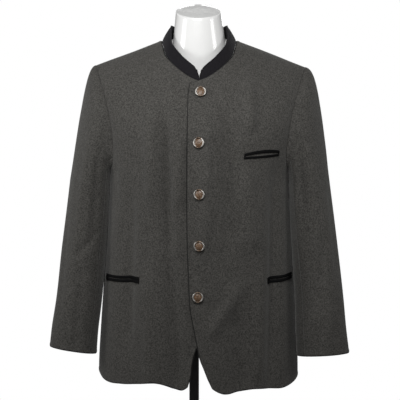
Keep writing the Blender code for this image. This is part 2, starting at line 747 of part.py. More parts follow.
def blazer_body(shade):
    """The two fronts and the two halves of the back."""
    fronts = {}
    for side, word in ((1.0, "left"), (-1.0, "right")):
        points = front_panel(side)
        fronts[word] = cloth("front_" + word, points, BODY_WALL, shade, flip=side < 0)
        points = back_panel(side)
        cloth("back_" + word, points, BODY_WALL, shade, flip=side > 0)
    return fronts


def sleeves(shade):
    """Upper and under sleeve of each arm, split at the front and the back sleeve seam."""
    rows = np.linspace(0.0, 1.0, SLEEVE_ROWS + 1)
    for side, word in ((1.0, "left"), (-1.0, "right")):
        grid = sleeve_surface(side, CAP_STEPS, rows)
        count = grid.shape[1]
        reach = UPPER_SLEEVE_REACH
        front_seam = (grid[:, reach] + grid[:, reach + 1]) / 2
        back_seam = (grid[:, count - reach] + grid[:, count - reach - 1]) / 2
        upper = [grid[:, k % count] for k in range(-reach, reach + 1)]
        under = [grid[:, k] for k in range(reach + 1, count - reach)]
        upper = np.stack([back_seam] + upper + [front_seam], axis=1)
        under = np.stack([front_seam] + under + [back_seam], axis=1)
        flip = side < 0
        for name, points in (("upper", upper), ("under", under)):
            for column, inner in ((0, 1), (-1, -2)):
                step = points[:, inner] - points[:, column]
                step = step / np.linalg.norm(step, axis=1)[:, None]
                points[:, column] = points[:, column] + step * SEAM_GAP * 0.6
            cloth("sleeve_" + word + "_" + name, points, SLEEVE_WALL, shade, flip)


def collar(shade):
    """The stand collar, one band from end to end."""
    shares = np.linspace(0.0, 1.0, COLLAR_COLUMNS + 1)
    shares = np.concatenate(([0.0, 0.02], shares[1:]))
    cloth("collar", collar_surface(shares, COLLAR_ROWS), COLLAR_WALL, shade, flip=True)


def surface_tree(obj):
    """Search tree of an object's finished mesh."""
    depsgraph = bpy.context.evaluated_depsgraph_get()
    return BVHTree.FromObject(obj, depsgraph)


def touch_front(tree, x, z):
    """Point and outward direction of a front panel, seen straight from the front."""
    hit, normal, _, _ = tree.ray_cast(Vector((x, -0.5, z)), Vector((0.0, 1.0, 0.0)))
    return hit, normal


def jetted_pocket(name, panel, pocket, shade):
    """The jetting of one pocket: two narrow lips in one piece round a slit."""
    (x0, z0), (x1, z1), tall = pocket
    tree = surface_tree(panel)
    lip = (1.0 - POCKET_SLIT) / 2
    levels = (0.0, lip, 1.0 - lip, 1.0)
    inner = np.linspace(POCKET_END, 1.0 - POCKET_END, POCKET_COLUMNS)
    shares = np.concatenate(([0.0], inner, [1.0]))
    grid = np.zeros((len(levels), len(shares), 3))
    start = float(angle_at(x0, z0))
    end = float(angle_at(x1, z1))
    for r, level in enumerate(levels):
        for c, share in enumerate(shares):
            z = z0 + (z1 - z0) * share + tall * (level - 0.5)
            x, _ = body_point(start + (end - start) * share, z, "front")
            hit, normal = touch_front(tree, x, z)
            grid[r, c] = hit + normal * (POCKET_LIFT + POCKET_WALL)
    last = len(shares) - 2
    return cloth(
        name, grid, POCKET_WALL, shade, flip=x1 < x0, skip=lambda r, c: r == 1 and 0 < c < last
    )


def buttons(panel, metal, horn):
    """Five shank buttons: a metal rim with its back and shank, and a horn centre set in it."""
    tree = surface_tree(panel)
    r = BUTTON_RADIUS
    rim_profile = (
        (0.0, 0.0042),
        (0.0088, 0.0042),
        (0.0090, 0.0056),
        (0.0103, 0.0066),
        (0.0115, 0.0060),
        (r, 0.0046),
        (0.0112, 0.0030),
        (0.0040, 0.0024),
        (0.0026, 0.0018),
        (0.0024, 0.0004),
        (0.0, 0.0004),
    )
    centre_profile = (
        (0.0, 0.0068),
        (0.0045, 0.0065),
        (0.0074, 0.0057),
        (0.0083, 0.0049),
        (0.0083, 0.0045),
        (0.0, 0.0045),
    )
    for k, (x, z) in enumerate(zip(BUTTON_X, BUTTON_HEIGHTS)):
        hit, normal = touch_front(tree, x, z)
        turn = normal.to_track_quat("Z", "Y").to_matrix().to_4x4()
        place = Matrix.Translation(hit + normal * 0.0003) @ turn
        number = str(k + 1)
        lathe("button_" + number + "_rim", rim_profile, 16, metal, place)
        lathe("button_" + number + "_centre", centre_profile, 14, horn, place)


def form_loop(height, inset=1.0):
    """One level loop of the torso form."""
    angle = np.arange(FORM_COLUMNS) * 2 * math.pi / FORM_COLUMNS
    power = 2 / FORM_SQUARENESS
    wide = read(FORM_SECTIONS, "half_width", height) * inset
    front = read(FORM_SECTIONS, "front", height) * inset
    back = read(FORM_SECTIONS, "back", height) * inset
    deep = np.where(np.cos(angle) > 0, front, back)
    x = wide * np.sign(np.sin(angle)) * np.abs(np.sin(angle)) ** power
    y = -deep * np.sign(np.cos(angle)) * np.abs(np.cos(angle)) ** power
    return x, y


def form_height(x, y):
    """Height of the form's rounded top over a place in plan."""
    wide = read(FORM_SECTIONS, "half_width", FORM_SHOULDER_Z)
    offset = SHOULDER_SEAM_Y
    front = read(FORM_SECTIONS, "front", FORM_SHOULDER_Z) + offset
    back = read(FORM_SECTIONS, "back", FORM_SHOULDER_Z) - offset
    across = np.clip(np.abs(x) / wide, 0.0, 1.0)
    deep = np.where(y < offset, front, back)
    room = deep * np.maximum(1 - across**FORM_SQUARENESS, 0.0) ** (1 / FORM_SQUARENESS)
    share = np.clip(np.abs(y - offset) / np.maximum(room, 0.0001), 0.0, 1.0)
    ridge = shoulder_height(x) - BODY_WALL - FORM_CLEARANCE
    end = (1 - across**8) ** 0.5
    slope = (1 - share**1.5) ** 0.9
    hollow = FORM_FRONT_HOLLOW * ease((share - 0.12) / 0.38) * 2 * (1 - share)
    slope = np.where(y < offset, slope - hollow, slope)
    return FORM_SHOULDER_Z + (ridge - FORM_SHOULDER_Z) * end * slope


def dress_form(gloss):
    """The smooth limbless torso with a short neck that carries the blazer."""
    loops = []
    for inset, rise in FORM_BOTTOM:
        x, y = form_loop(FORM_BOTTOM_Z, inset)
        loops.append(np.stack([x, y, np.full_like(x, FORM_BOTTOM_Z + rise)], axis=1))
    for height in FORM_LEVELS:
        x, y = form_loop(height)
        loops.append(np.stack([x, y, np.full_like(x, height)], axis=1))
    outer_x, outer_y = form_loop(FORM_SHOULDER_Z)
    loops.append(np.stack([outer_x, outer_y, np.full_like(outer_x, FORM_SHOULDER_Z)], axis=1))
    angle = np.arange(FORM_COLUMNS) * 2 * math.pi / FORM_COLUMNS
    ring_x = NECK_RING_RADIUS * np.sin(angle)
    ring_y = NECK_RING_Y - NECK_RING_DEPTH * np.cos(angle)
    for share in FORM_TOP_SHARES:
        x = outer_x + (ring_x - outer_x) * share
        y = outer_y + (ring_y - outer_y) * share
        loops.append(np.stack([x, y, form_height(x, y)], axis=1))
    base = loops[-1][:, 2]
    for share in NECK_SHARES:
        slant = NECK_TOP_Z + NECK_TOP_SLANT * (ring_y - NECK_RING_Y)
        height = base + (slant - base) * share
        inset = NECK_EDGE_ROUND if share == 1.0 else 0.0
        x = (read(NECK_SECTIONS, "half_width", height) - inset) * np.sin(angle)
        x = x + NECK_SHIFT_X * share
        y = NECK_RING_Y - (read(NECK_SECTIONS, "half_depth", height) - inset) * np.cos(angle)
        loops.append(np.stack([x, y, height], axis=1))
    return solid_from_loops("dress_form", loops, gloss)


def stand(black):
    """The pole under the form and the round base plate."""
    bpy.ops.mesh.primitive_cylinder_add(
        vertices=32,
        radius=POLE_RADIUS,
        depth=FORM_BOTTOM_Z - BASE_THICKNESS - 2 * SEAM_GAP,
        location=(POLE_X, 0.0, (FORM_BOTTOM_Z + BASE_THICKNESS) / 2),
    )
    pole = bpy.context.active_object
    pole.name = "pole"
    pole.data.materials.append(black)
    pole.data.shade_smooth()
    pole.data.set_sharp_from_angle(angle=SHARP_ANGLE)
    profile = (
        (0.0, BASE_THICKNESS),
        (BASE_RADIUS - 0.003, BASE_THICKNESS),
        (BASE_RADIUS, BASE_THICKNESS - 0.003),
        (BASE_RADIUS, 0.0),
        (0.0, 0.0),
    )
    lathe("base", profile, 48, black, Matrix.Translation((POLE_X, BASE_Y, 0.0)))
    for owner in list(pole.users_collection):
        owner.objects.unlink(pole)
    part_collection.objects.link(pole)


loden = material("loden", (0.062, 0.058, 0.053), 0.92)
felt = material("black_felt", (0.012, 0.012, 0.013), 0.90)
jetting = material("jetting", (0.010, 0.010, 0.011), 0.85)
rim_metal = material("old_silver", (0.55, 0.53, 0.50), 0.38, 1.0)
horn_brown = material("horn", (0.075, 0.045, 0.028), 0.40)
white_gloss = material("form_gloss", (0.86, 0.86, 0.85), 0.12)
black_paint = material("stand_black", (0.012, 0.012, 0.012), 0.45)

fronts = blazer_body(loden)
sleeves(loden)
collar(felt)
bpy.context.view_layer.update()
jetted_pocket("breast_pocket", fronts["left"], BREAST_POCKET, jetting)
jetted_pocket("pocket_left", fronts["left"], LEFT_POCKET, jetting)
jetted_pocket("pocket_right", fronts["right"], RIGHT_POCKET, jetting)
buttons(fronts["left"], rim_metal, horn_brown)
dress_form(white_gloss)
stand(black_paint)
for obj in part_collection.objects:
    obj.data.transform(Matrix.Translation((CENTRE_X, CENTRE_Y, 0.0)))
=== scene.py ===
import math

import bmesh
import bpy
import numpy as np
from mathutils import Matrix, Vector
from mathutils.bvhtree import BVHTree


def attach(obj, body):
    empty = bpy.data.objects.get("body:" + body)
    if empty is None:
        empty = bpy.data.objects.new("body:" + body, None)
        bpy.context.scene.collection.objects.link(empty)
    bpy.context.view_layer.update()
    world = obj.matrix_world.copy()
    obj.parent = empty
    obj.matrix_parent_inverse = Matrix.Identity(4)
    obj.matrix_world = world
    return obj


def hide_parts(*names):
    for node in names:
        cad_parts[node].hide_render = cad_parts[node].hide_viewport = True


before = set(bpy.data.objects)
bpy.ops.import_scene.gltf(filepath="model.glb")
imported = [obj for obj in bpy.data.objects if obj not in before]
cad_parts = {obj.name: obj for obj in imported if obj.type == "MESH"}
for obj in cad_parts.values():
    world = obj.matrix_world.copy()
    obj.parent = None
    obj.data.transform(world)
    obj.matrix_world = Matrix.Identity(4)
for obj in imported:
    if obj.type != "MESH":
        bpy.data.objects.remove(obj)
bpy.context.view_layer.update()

# The stand is a flat round steel plate with a steel tube that stands on it.
# Both are powder coated black, a matt skin with a very fine orange peel.
# The plate has a small rounded rim so that it doesn't mark a counter.
CENTRE = Vector((0.0020, 0.0025, 0.0))
BASE_RADIUS = 0.150
BASE_THICKNESS = 0.009
POLE_X = -0.0115
BASE_Y = -0.012
BASE_RIM = 0.003
POLE_RADIUS = 0.0110
POLE_TOP = 0.3847
POLE_LOW_RING = 0.024
POLE_GAP = 0.0003
BASE_SOLE_ROUND = 0.0008


class Field:
    """A value or colour that varies over a material. Sums on it add Math nodes."""

    def __init__(self, tree, socket=None):
        self.tree = tree
        self.socket = socket

    def node(self, kind, settings, sockets, output=0):
        """Adds one node: its settings first, then the values or links of its sockets."""
        made = self.tree.nodes.new(kind)
        for name, value in settings.items():
            setattr(made, name, value)
        for key, value in sockets.items():
            if isinstance(value, Field):
                self.tree.links.new(value.socket, made.inputs[key])
            else:
                made.inputs[key].default_value = value
        return Field(self.tree, made.outputs[output])

    def sum(self, operation, first, second):
        return self.node("ShaderNodeMath", {"operation": operation}, {0: first, 1: second})

    def __add__(self, other):
        return self.sum("ADD", self, other)

    def __radd__(self, other):
        return self.sum("ADD", other, self)

    def __sub__(self, other):
        return self.sum("SUBTRACT", self, other)

    def __rsub__(self, other):
        return self.sum("SUBTRACT", other, self)

    def __mul__(self, other):
        return self.sum("MULTIPLY", self, other)

    def __rmul__(self, other):
        return self.sum("MULTIPLY", other, self)

    def noise(self, scale, detail=3.0, rough=0.5):
        """Soft noise at this place, from 0 to 1."""
        sockets = {"Vector": self, "Scale": scale, "Detail": detail, "Roughness": rough}
        return self.node("ShaderNodeTexNoise", {}, sockets)

    def ramp(self, low, high):
        """0 under low, 1 over high, straight between them."""
        sockets = {"Value": self, "From Min": low, "From Max": high}
        return self.node("ShaderNodeMapRange", {}, sockets)

    def blend(self, first, second):
        """Mixes two colours by this factor."""
        low, high = [c if isinstance(c, Field) else (*c, 1.0) for c in (first, second)]
        return self.node("ShaderNodeMix", {"data_type": "RGBA"}, {0: self, 6: low, 7: high}, 2)


def new_finish(name, **fixed):
    """A new material: gives it, its surface shader and the place on the object."""
    finish = bpy.data.materials.new(name)
    finish.use_nodes = True
    tree = finish.node_tree
    shader = tree.nodes["Principled BSDF"]
    for key, value in fixed.items():
        shader.inputs[key.replace("_", " ")].default_value = value
    return finish, shader, Field(tree).node("ShaderNodeTexCoord", {}, {}, "Object")


def plug(shader, **links):
    """Leads fields into the shader's sockets. A height goes through a Bump node."""
    for key, value in links.items():
        if key == "Height":
            field, strength, distance = value
            sockets = {"Height": field, "Strength": strength, "Distance": distance}
            value = field.node("ShaderNodeBump", {}, sockets)
            key = "Normal"
        value.tree.links.new(value.socket, shader.inputs[key.replace("_", " ")])


def finished(name, bm, finish, replaced, smooth=True):
    """Makes the object of a finished bmesh, hangs it on the model and hides the CAD parts it
    replaces.
    """
    bmesh.ops.translate(bm, vec=CENTRE, verts=bm.verts)
    mesh = bpy.data.meshes.new(name)
    bm.to_mesh(mesh)
    bm.free()
    mesh.materials.append(finish)
    if smooth:
        mesh.shade_smooth()
        mesh.set_sharp_from_angle(angle=math.radians(40))
    piece = bpy.data.objects.new(name, mesh)
    bpy.context.scene.collection.objects.link(piece)
    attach(piece, "root")
    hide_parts(*replaced)
    return piece


def turned(profile, steps):
    """A turned body from a profile of radius and height."""
    bm = bmesh.new()
    corners = [bm.verts.new((radius, 0.0, height)) for radius, height in profile]
    line = [bm.edges.new(pair) for pair in zip(corners, corners[1:])]
    bmesh.ops.spin(
        bm, geom=corners + line, axis=(0, 0, 1), angle=2 * math.pi, steps=steps, use_merge=True
    )
    bmesh.ops.remove_doubles(bm, verts=bm.verts, dist=0.00001)
    bmesh.ops.recalc_face_normals(bm, faces=bm.faces)
    return bm


powder_coat, shader, place = new_finish("black_powder_coat", Roughness=0.45, Coat_Weight=0.0)
peel = place.noise(520.0, 2.0)
dust = place.noise(38.0, 4.0, 0.6)
plug(
    shader,
    Base_Color=dust.blend((0.008, 0.008, 0.008), (0.017, 0.017, 0.017)),
    Roughness=dust * 0.16 + 0.36,
    Height=(peel, 0.25, 0.0003),
)

rim = [(0.0, BASE_THICKNESS), (BASE_RADIUS * 0.5, BASE_THICKNESS)]
for step in range(7):
    turn = step * math.pi / 12
    across = BASE_RADIUS - BASE_RIM + BASE_RIM * math.sin(turn)
    rim.append((across, BASE_THICKNESS - BASE_RIM + BASE_RIM * math.cos(turn)))
rim += [(BASE_RADIUS, BASE_SOLE_ROUND), (BASE_RADIUS - BASE_SOLE_ROUND, 0.0), (0.0, 0.0)]
bm = turned(rim, 160)
bmesh.ops.translate(bm, vec=(POLE_X, BASE_Y, 0.0), verts=bm.verts)
finished("base_plate", bm, powder_coat, ["base"])

pole = [(0.0, POLE_TOP), (POLE_RADIUS, POLE_TOP), (POLE_RADIUS, POLE_LOW_RING)]
pole += [(POLE_RADIUS, BASE_THICKNESS + POLE_GAP), (0.0, BASE_THICKNESS + POLE_GAP)]
bm = turned(pole, 72)
bmesh.ops.translate(bm, vec=(POLE_X, 0.0, 0.0), verts=bm.verts)
finished("stand_pole", bm, powder_coat, ["pole"])

# The torso form is a hollow shell moulded in white gloss plastic, smooth and without limbs.
# It ends in a short neck with a flat slanted cap, and the blazer hangs from its shoulders.
# Its level sections are rounded squares that follow a man's chest, waist and seat.
FORM_SECTIONS = (
    ("height", "half_width", "front", "back"),
    (0.385, 0.150, 0.104, 0.100),
    (0.400, 0.163, 0.117, 0.113),
    (0.440, 0.171, 0.123, 0.122),
    (0.500, 0.166, 0.120, 0.120),
    (0.560, 0.161, 0.118, 0.114),
    (0.640, 0.164, 0.126, 0.118),
    (0.720, 0.172, 0.130, 0.128),
    (0.800, 0.182, 0.126, 0.135),
    (0.860, 0.190, 0.112, 0.132),
)
NECK_SECTIONS = (
    ("height", "half_width", "half_depth"),
    (0.960, 0.0620, 0.0510),
    (0.990, 0.0600, 0.0510),
    (1.015, 0.0570, 0.0505),
    (1.041, 0.0535, 0.0495),
    (1.055, 0.0517, 0.0490),
    (1.080, 0.0488, 0.0480),
)
FORM_SQUARENESS = 2.3
FORM_BOTTOM = 0.385
FORM_SHOULDER = 0.860
FORM_SLIMMER = 0.997
FORM_UNDER_CLOTH = 0.0050
FORM_FRONT_HOLLOW = 0.13
NECK_RING = (0.0620, 0.0510)
NECK_TOP = 1.0745
NECK_SLANT = 0.285
NECK_SHIFT = -0.0015
NECK_POINT = (0.0828, 1.0098)
SHOULDER_FALL = 0.380
SHOULDER_SHIFT = 0.0028
SHOULDER_TILT = 0.0020
SHOULDER_SEAM_Y = 0.010
FORM_COLUMNS = 144
FORM_FOOT = (
    ("inset", "rise"),
    (0.60, 0.0),
    (0.75, 0.0002),
    (0.85, 0.0008),
    (0.93, 0.0025),
    (0.98, 0.006),
    (1.0, 0.012),
)
CAP_ROUND = ((0.988, 0.0004), (0.996, 0.0011), (1.0, 0.0024))
CAP_FLAT = ((1.0, 0.012), (1.0, 0.030), (1.0, 0.042))


def read(table, name, key):
    """Smooth value of the named column at the given values of the first column."""
    column = table[0].index(name)
    keys = np.array([row[0] for row in table[1:]])
    values = np.array([row[column] for row in table[1:]])
    slopes = np.gradient(values, keys)
    key = np.clip(np.asarray(key, dtype=float), keys[0], keys[-1])
    low = np.clip(np.searchsorted(keys, key) - 1, 0, len(keys) - 2)
    step = keys[low + 1] - keys[low]
    t = (key - keys[low]) / step
    start = (2 * t**3 - 3 * t**2 + 1) * values[low] + (t**3 - 2 * t**2 + t) * step * slopes[low]
    end = (3 * t**2 - 2 * t**3) * values[low + 1] + (t**3 - t**2) * step * slopes[low + 1]
    return start + end


def ease(t):
    """Smooth step from 0 to 1."""
    t = np.clip(t, 0.0, 1.0)
    return t * t * (3 - 2 * t)


def shoulder_height(across):
    """Height of the shoulder line, level over the middle of the neck."""
    share = np.abs(across) / NECK_POINT[0]
    soft = np.where(share < 1.0, 0.5 + 0.5 * share**2, share)
    return NECK_POINT[1] - (soft - 1.0) * NECK_POINT[0] * SHOULDER_FALL


def form_ring(height, inset=1.0):
    """Plan of the torso at one height."""
    angle = np.arange(FORM_COLUMNS + 1) * 2 * math.pi / FORM_COLUMNS
    power = 2 / FORM_SQUARENESS
    size = inset * FORM_SLIMMER
    deep = np.where(
        np.cos(angle) > 0, read(FORM_SECTIONS, "front", height), read(FORM_SECTIONS, "back", height)
    )
    wide = read(FORM_SECTIONS, "half_width", height)
    x = wide * size * np.sign(np.sin(angle)) * np.abs(np.sin(angle)) ** power
    y = -deep * size * np.sign(np.cos(angle)) * np.abs(np.cos(angle)) ** power
    return x, y


def form_top(x, y):
    """Height of the rounded shoulders over a place in plan."""
    wide = read(FORM_SECTIONS, "half_width", FORM_SHOULDER) * FORM_SLIMMER
    front = read(FORM_SECTIONS, "front", FORM_SHOULDER) * FORM_SLIMMER + SHOULDER_SEAM_Y
    back = read(FORM_SECTIONS, "back", FORM_SHOULDER) * FORM_SLIMMER - SHOULDER_SEAM_Y
    across = np.clip(np.abs(x) / wide, 0.0, 1.0)
    deep = np.where(y < SHOULDER_SEAM_Y, front, back)
    room = deep * np.maximum(1 - across**FORM_SQUARENESS, 0.0) ** (1 / FORM_SQUARENESS)
    share = np.clip(np.abs(y - SHOULDER_SEAM_Y) / np.maximum(room, 0.0001), 0.0, 1.0)
    ridge = shoulder_height(x) - FORM_UNDER_CLOTH
    slope = (1 - share**1.5) ** 0.9
    hollow = FORM_FRONT_HOLLOW * ease((share - 0.12) / 0.38) * 2 * (1 - share)
    slope = np.where(y < SHOULDER_SEAM_Y, slope - hollow, slope)
    return FORM_SHOULDER + (ridge - FORM_SHOULDER) * (1 - across**8) ** 0.5 * slope


def grid_mesh(points, maps=None):
    """A grid of faces on the given rows and columns of points, with its UV maps in metres."""
    rows, columns = points.shape[0], points.shape[1]
    bm = bmesh.new()
    layers = {name: bm.loops.layers.uv.new(name) for name in maps or {}}
    bmesh.ops.create_grid(bm, x_segments=columns - 1, y_segments=rows - 1, size=1.0)
    places = {}
    for corner in bm.verts:
        column = round((corner.co.x + 1) / 2 * (columns - 1))
        row = round((corner.co.y + 1) / 2 * (rows - 1))
        places[corner] = (row, column)
    for corner, (row, column) in places.items():
        corner.co = points[row, column]
    for name, layer in layers.items():
        for face in bm.faces:
            for loop in face.loops:
                loop[layer].uv = maps[name][places[loop.vert]]
    return bm


loops = []
for inset, rise in FORM_FOOT[1:]:
    x, y = form_ring(FORM_BOTTOM, inset)
    loops.append(np.stack([x, y, np.full_like(x, FORM_BOTTOM + rise)], axis=1))
for height in np.linspace(0.402, FORM_SHOULDER, 60):
    x, y = form_ring(height)
    loops.append(np.stack([x, y, np.full_like(x, height)], axis=1))
edge_x, edge_y = form_ring(FORM_SHOULDER)
angle = np.arange(FORM_COLUMNS + 1) * 2 * math.pi / FORM_COLUMNS
ring_x = NECK_RING[0] * np.sin(angle)
ring_y = -NECK_RING[1] * np.cos(angle)
for share in np.linspace(0.0, 1.0, 36)[1:] ** 1.6:
    x = edge_x + (ring_x - edge_x) * share
    y = edge_y + (ring_y - edge_y) * share
    loops.append(np.stack([x, y, form_top(x, y)], axis=1))
root = loops[-1][:, 2]
neck_side = tuple((share, 0.0) for share in np.linspace(0.03, 0.975, 28))
for share, inset in neck_side + CAP_ROUND + CAP_FLAT:
    height = root + (NECK_TOP + NECK_SLANT * ring_y - root) * share
    x = (read(NECK_SECTIONS, "half_width", height) - inset) * np.sin(angle) + NECK_SHIFT * share
    y = -(read(NECK_SECTIONS, "half_depth", height) - inset) * np.cos(angle)
    if (share, inset) in CAP_FLAT:
        height = NECK_TOP + NECK_SLANT * y
    loops.append(np.stack([x, y, height], axis=1))
bm = grid_mesh(np.array(loops))
bmesh.ops.remove_doubles(bm, verts=bm.verts, dist=0.00002)
bmesh.ops.holes_fill(bm, edges=bm.edges, sides=0)
bmesh.ops.recalc_face_normals(bm, faces=bm.faces)

white_gloss, shader, place = new_finish(
    "white_gloss_shell", Roughness=0.14, Coat_Weight=0.25, Coat_Roughness=0.06
)
haze = place.noise(7.0, 3.0)
wave = place.noise(16.0, 1.0)
plug(
    shader,
    Base_Color=haze.blend((0.83, 0.83, 0.82), (0.88, 0.88, 0.87)),
    Roughness=haze * 0.08 + 0.12,
    Height=(wave, 0.10, 0.002),
)
finished("torso_form", bm, white_gloss, ["dress_form"])

# The fronts and the two halves of the back are cut from heavy milled wool in mottled dark grey.
# They are sewn at the sides, the shoulders and the centre back, and hang from the shoulders.
# The left front laps over the right, and both fronts are cut away in a curve under the last button.
BODY_SECTIONS = (
    ("height", "half_width", "front", "back", "squareness", "sway"),
    (0.240, 0.2262, 0.1520, 0.1450, 2.40, -0.0020),
    (0.300, 0.2250, 0.1545, 0.1470, 2.40, -0.0018),
    (0.360, 0.2215, 0.1560, 0.1480, 2.40, -0.0014),
    (0.430, 0.2168, 0.1565, 0.1460, 2.40, -0.0010),
    (0.500, 0.2120, 0.1570, 0.1430, 2.40, -0.0005),
    (0.580, 0.2062, 0.1580, 0.1420, 2.37, 0.0000),
    (0.660, 0.2015, 0.1590, 0.1490, 2.34, 0.0000),
    (0.722, 0.2005, 0.1580, 0.1570, 2.34, 0.0000),
    (0.800, 0.2110, 0.1535, 0.1625, 2.34, 0.0000),
    (0.860, 0.2230, 0.1440, 0.1610, 2.34, 0.0000),
    (0.920, 0.2350, 0.1330, 0.1550, 2.34, 0.0000),
    (0.960, 0.2430, 0.1230, 0.1500, 2.34, 0.0000),
    (1.040, 0.2550, 0.0980, 0.1380, 2.34, 0.0000),
)
ARMHOLE = (
    ("step", "height", "front_angle", "back_angle"),
    (0.0, 0.7220, 90.0, 90.0),
    (0.7, 0.7260, 79.0, 78.0),
    (1.4, 0.7380, 70.0, 68.0),
    (2.4, 0.7700, 64.0, 61.0),
    (3.4, 0.8100, 62.0, 57.5),
    (4.4, 0.8550, 61.5, 57.0),
    (5.4, 0.8950, 64.0, 60.0),
    (6.2, 0.9250, 67.0, 64.5),
)
FRONT_NECKLINE = (
    ("across", "height"),
    (-0.0210, 0.9215),
    (0.0000, 0.9285),
    (0.0184, 0.9358),
    (0.0315, 0.9436),
    (0.0483, 0.9557),
    (0.0631, 0.9688),
    (0.0750, 0.9842),
    (0.0828, 1.0098),
)
BACK_NECKLINE = (
    ("across", "height"),
    (0.0000, 0.9880),
    (0.0300, 0.9890),
    (0.0600, 0.9935),
    (0.0828, 1.0098),
)
LEFT_EDGE = (
    ("height", "across"),
    (0.2618, 0.0300),
    (0.2822, 0.0204),
    (0.3048, 0.0117),
    (0.3273, 0.0028),
    (0.3541, -0.0030),
    (0.3897, -0.0101),
    (0.4427, -0.0196),
    (0.5000, -0.0230),
    (0.5600, -0.0258),
    (0.7500, -0.0268),
    (0.8543, -0.0255),
    (0.9038, -0.0238),
    (0.9215, -0.0210),
)
RIGHT_EDGE = (
    ("height", "across"),
    (0.2640, 0.0232),
    (0.2864, 0.0167),
    (0.3220, 0.0122),
    (0.3487, 0.0048),
    (0.3800, -0.0130),
    (0.4300, -0.0270),
    (0.5000, -0.0320),
    (0.8543, -0.0310),
    (0.9038, -0.0260),
    (0.9215, -0.0210),
)
LEFT_HEM = (
    ("across", "height"),
    (0.0300, 0.2618),
    (0.0408, 0.2545),
    (0.0517, 0.2500),
    (0.0886, 0.2532),
    (0.1214, 0.2580),
    (0.1547, 0.2546),
    (0.1873, 0.2502),
    (0.2240, 0.2572),
)
RIGHT_HEM = (
    ("across", "height"),
    (0.0232, 0.2640),
    (0.0335, 0.2572),
    (0.0525, 0.2608),
    (0.0700, 0.2675),
    (0.0900, 0.2733),
    (0.1300, 0.2686),
    (0.1700, 0.2630),
    (0.2100, 0.2615),
    (0.2280, 0.2690),
)
FRONT_FOLDS = (
    ("x0", "z0", "x1", "z1", "width", "height"),
    (-0.104, 0.875, -0.098, 0.660, 0.0165, 0.0112),
    (-0.076, 0.870, -0.064, 0.540, 0.0130, -0.0112),
    (-0.064, 0.560, -0.046, 0.250, 0.0153, -0.0104),
    (-0.040, 0.810, -0.044, 0.660, 0.011, 0.0066),
    (-0.112, 0.520, -0.102, 0.240, 0.0204, 0.0092),
    (-0.150, 0.700, -0.158, 0.330, 0.0153, -0.0106),
    (0.106, 0.930, 0.110, 0.820, 0.0130, 0.0085),
    (0.058, 0.870, 0.066, 0.560, 0.0140, -0.0104),
    (0.102, 0.738, 0.112, 0.560, 0.0170, 0.0104),
    (0.166, 0.750, 0.162, 0.240, 0.0150, -0.0104),
    (0.100, 0.500, 0.020, 0.375, 0.0145, 0.0056),
    (0.078, 0.430, 0.090, 0.240, 0.0160, -0.0090),
    (0.134, 0.690, 0.130, 0.240, 0.0160, 0.0080),
    (0.018, 0.860, 0.014, 0.560, 0.0135, 0.0072),
)
FRONT_CREASES = (
    ("x0", "z0", "x1", "z1", "width", "height"),
    (0.174, 0.790, 0.170, 0.690, 0.007, -0.0018),
    (-0.186, 0.760, -0.178, 0.640, 0.008, -0.0022),
    (-0.140, 0.830, -0.128, 0.740, 0.009, 0.0013),
    (-0.052, 0.760, -0.056, 0.620, 0.007, 0.0010),
    (-0.090, 0.640, -0.084, 0.540, 0.009, -0.0009),
    (0.052, 0.700, 0.030, 0.590, 0.008, -0.0016),
    (0.030, 0.520, 0.060, 0.470, 0.007, 0.0009),
    (0.140, 0.660, 0.130, 0.540, 0.009, -0.0013),
    (0.186, 0.600, 0.180, 0.470, 0.008, 0.0016),
    (-0.120, 0.420, -0.130, 0.300, 0.010, -0.0013),
    (-0.030, 0.460, -0.014, 0.380, 0.008, 0.0010),
    (0.100, 0.380, 0.104, 0.280, 0.009, -0.0010),
)
BACK_FOLDS = (
    ("x0", "z0", "x1", "z1", "width", "height"),
    (-0.150, 0.830, -0.130, 0.560, 0.020, 0.0036),
    (-0.112, 0.860, -0.092, 0.500, 0.017, -0.0036),
    (-0.060, 0.640, -0.070, 0.240, 0.020, 0.0032),
    (-0.128, 0.480, -0.140, 0.240, 0.022, -0.0040),
    (0.154, 0.820, 0.132, 0.570, 0.020, 0.0034),
    (0.108, 0.850, 0.090, 0.520, 0.018, -0.0038),
    (0.058, 0.600, 0.066, 0.240, 0.020, 0.0034),
    (0.132, 0.470, 0.144, 0.240, 0.022, -0.0040),
)
BACK_CREASES = (
    ("x0", "z0", "x1", "z1", "width", "height"),
    (-0.172, 0.800, -0.160, 0.690, 0.008, -0.0012),
    (0.174, 0.790, 0.160, 0.680, 0.008, -0.0014),
    (-0.030, 0.880, 0.034, 0.872, 0.010, -0.0010),
    (-0.024, 0.560, -0.060, 0.520, 0.008, 0.0008),
    (0.030, 0.530, 0.066, 0.500, 0.008, 0.0008),
    (-0.100, 0.420, -0.096, 0.300, 0.010, -0.0008),
    (0.102, 0.400, 0.098, 0.290, 0.009, -0.0008),
    (0.020, 0.440, 0.016, 0.290, 0.011, 0.0008),
)
SHOULDER_POINT = 0.2312
SHOULDER_ROUND = (0.215, 0.145)
UNDERARM = 0.722
UNDERLAP = (-0.062, -0.034, 0.0048)
BACK_HEM_DIP = 0.004
SEAM_GAP = 0.0003
BODY_WALL = 0.0024
BODY_COLUMNS = 112
SIDE_ROWS = 104
ARM_ROWS = 72
FRONT_NECK_ROWS = 40
BACK_NECK_ROWS = 32
EDGE_LINES = (0.15, 0.40, 0.75)
ARMHOLE_TOP_STEP = 7.0
FLAT_SIDE_SHARE = 0.18
FLAT_TOP_SHARE = 0.068
CENTRE_SEAM_SHARE = 0.107
ROLL_FROM_EDGE = 0.0046
ROLL_WIDTH = 0.0032
RIM_WIDTH = 0.0013
EDGE_REACH = 0.05


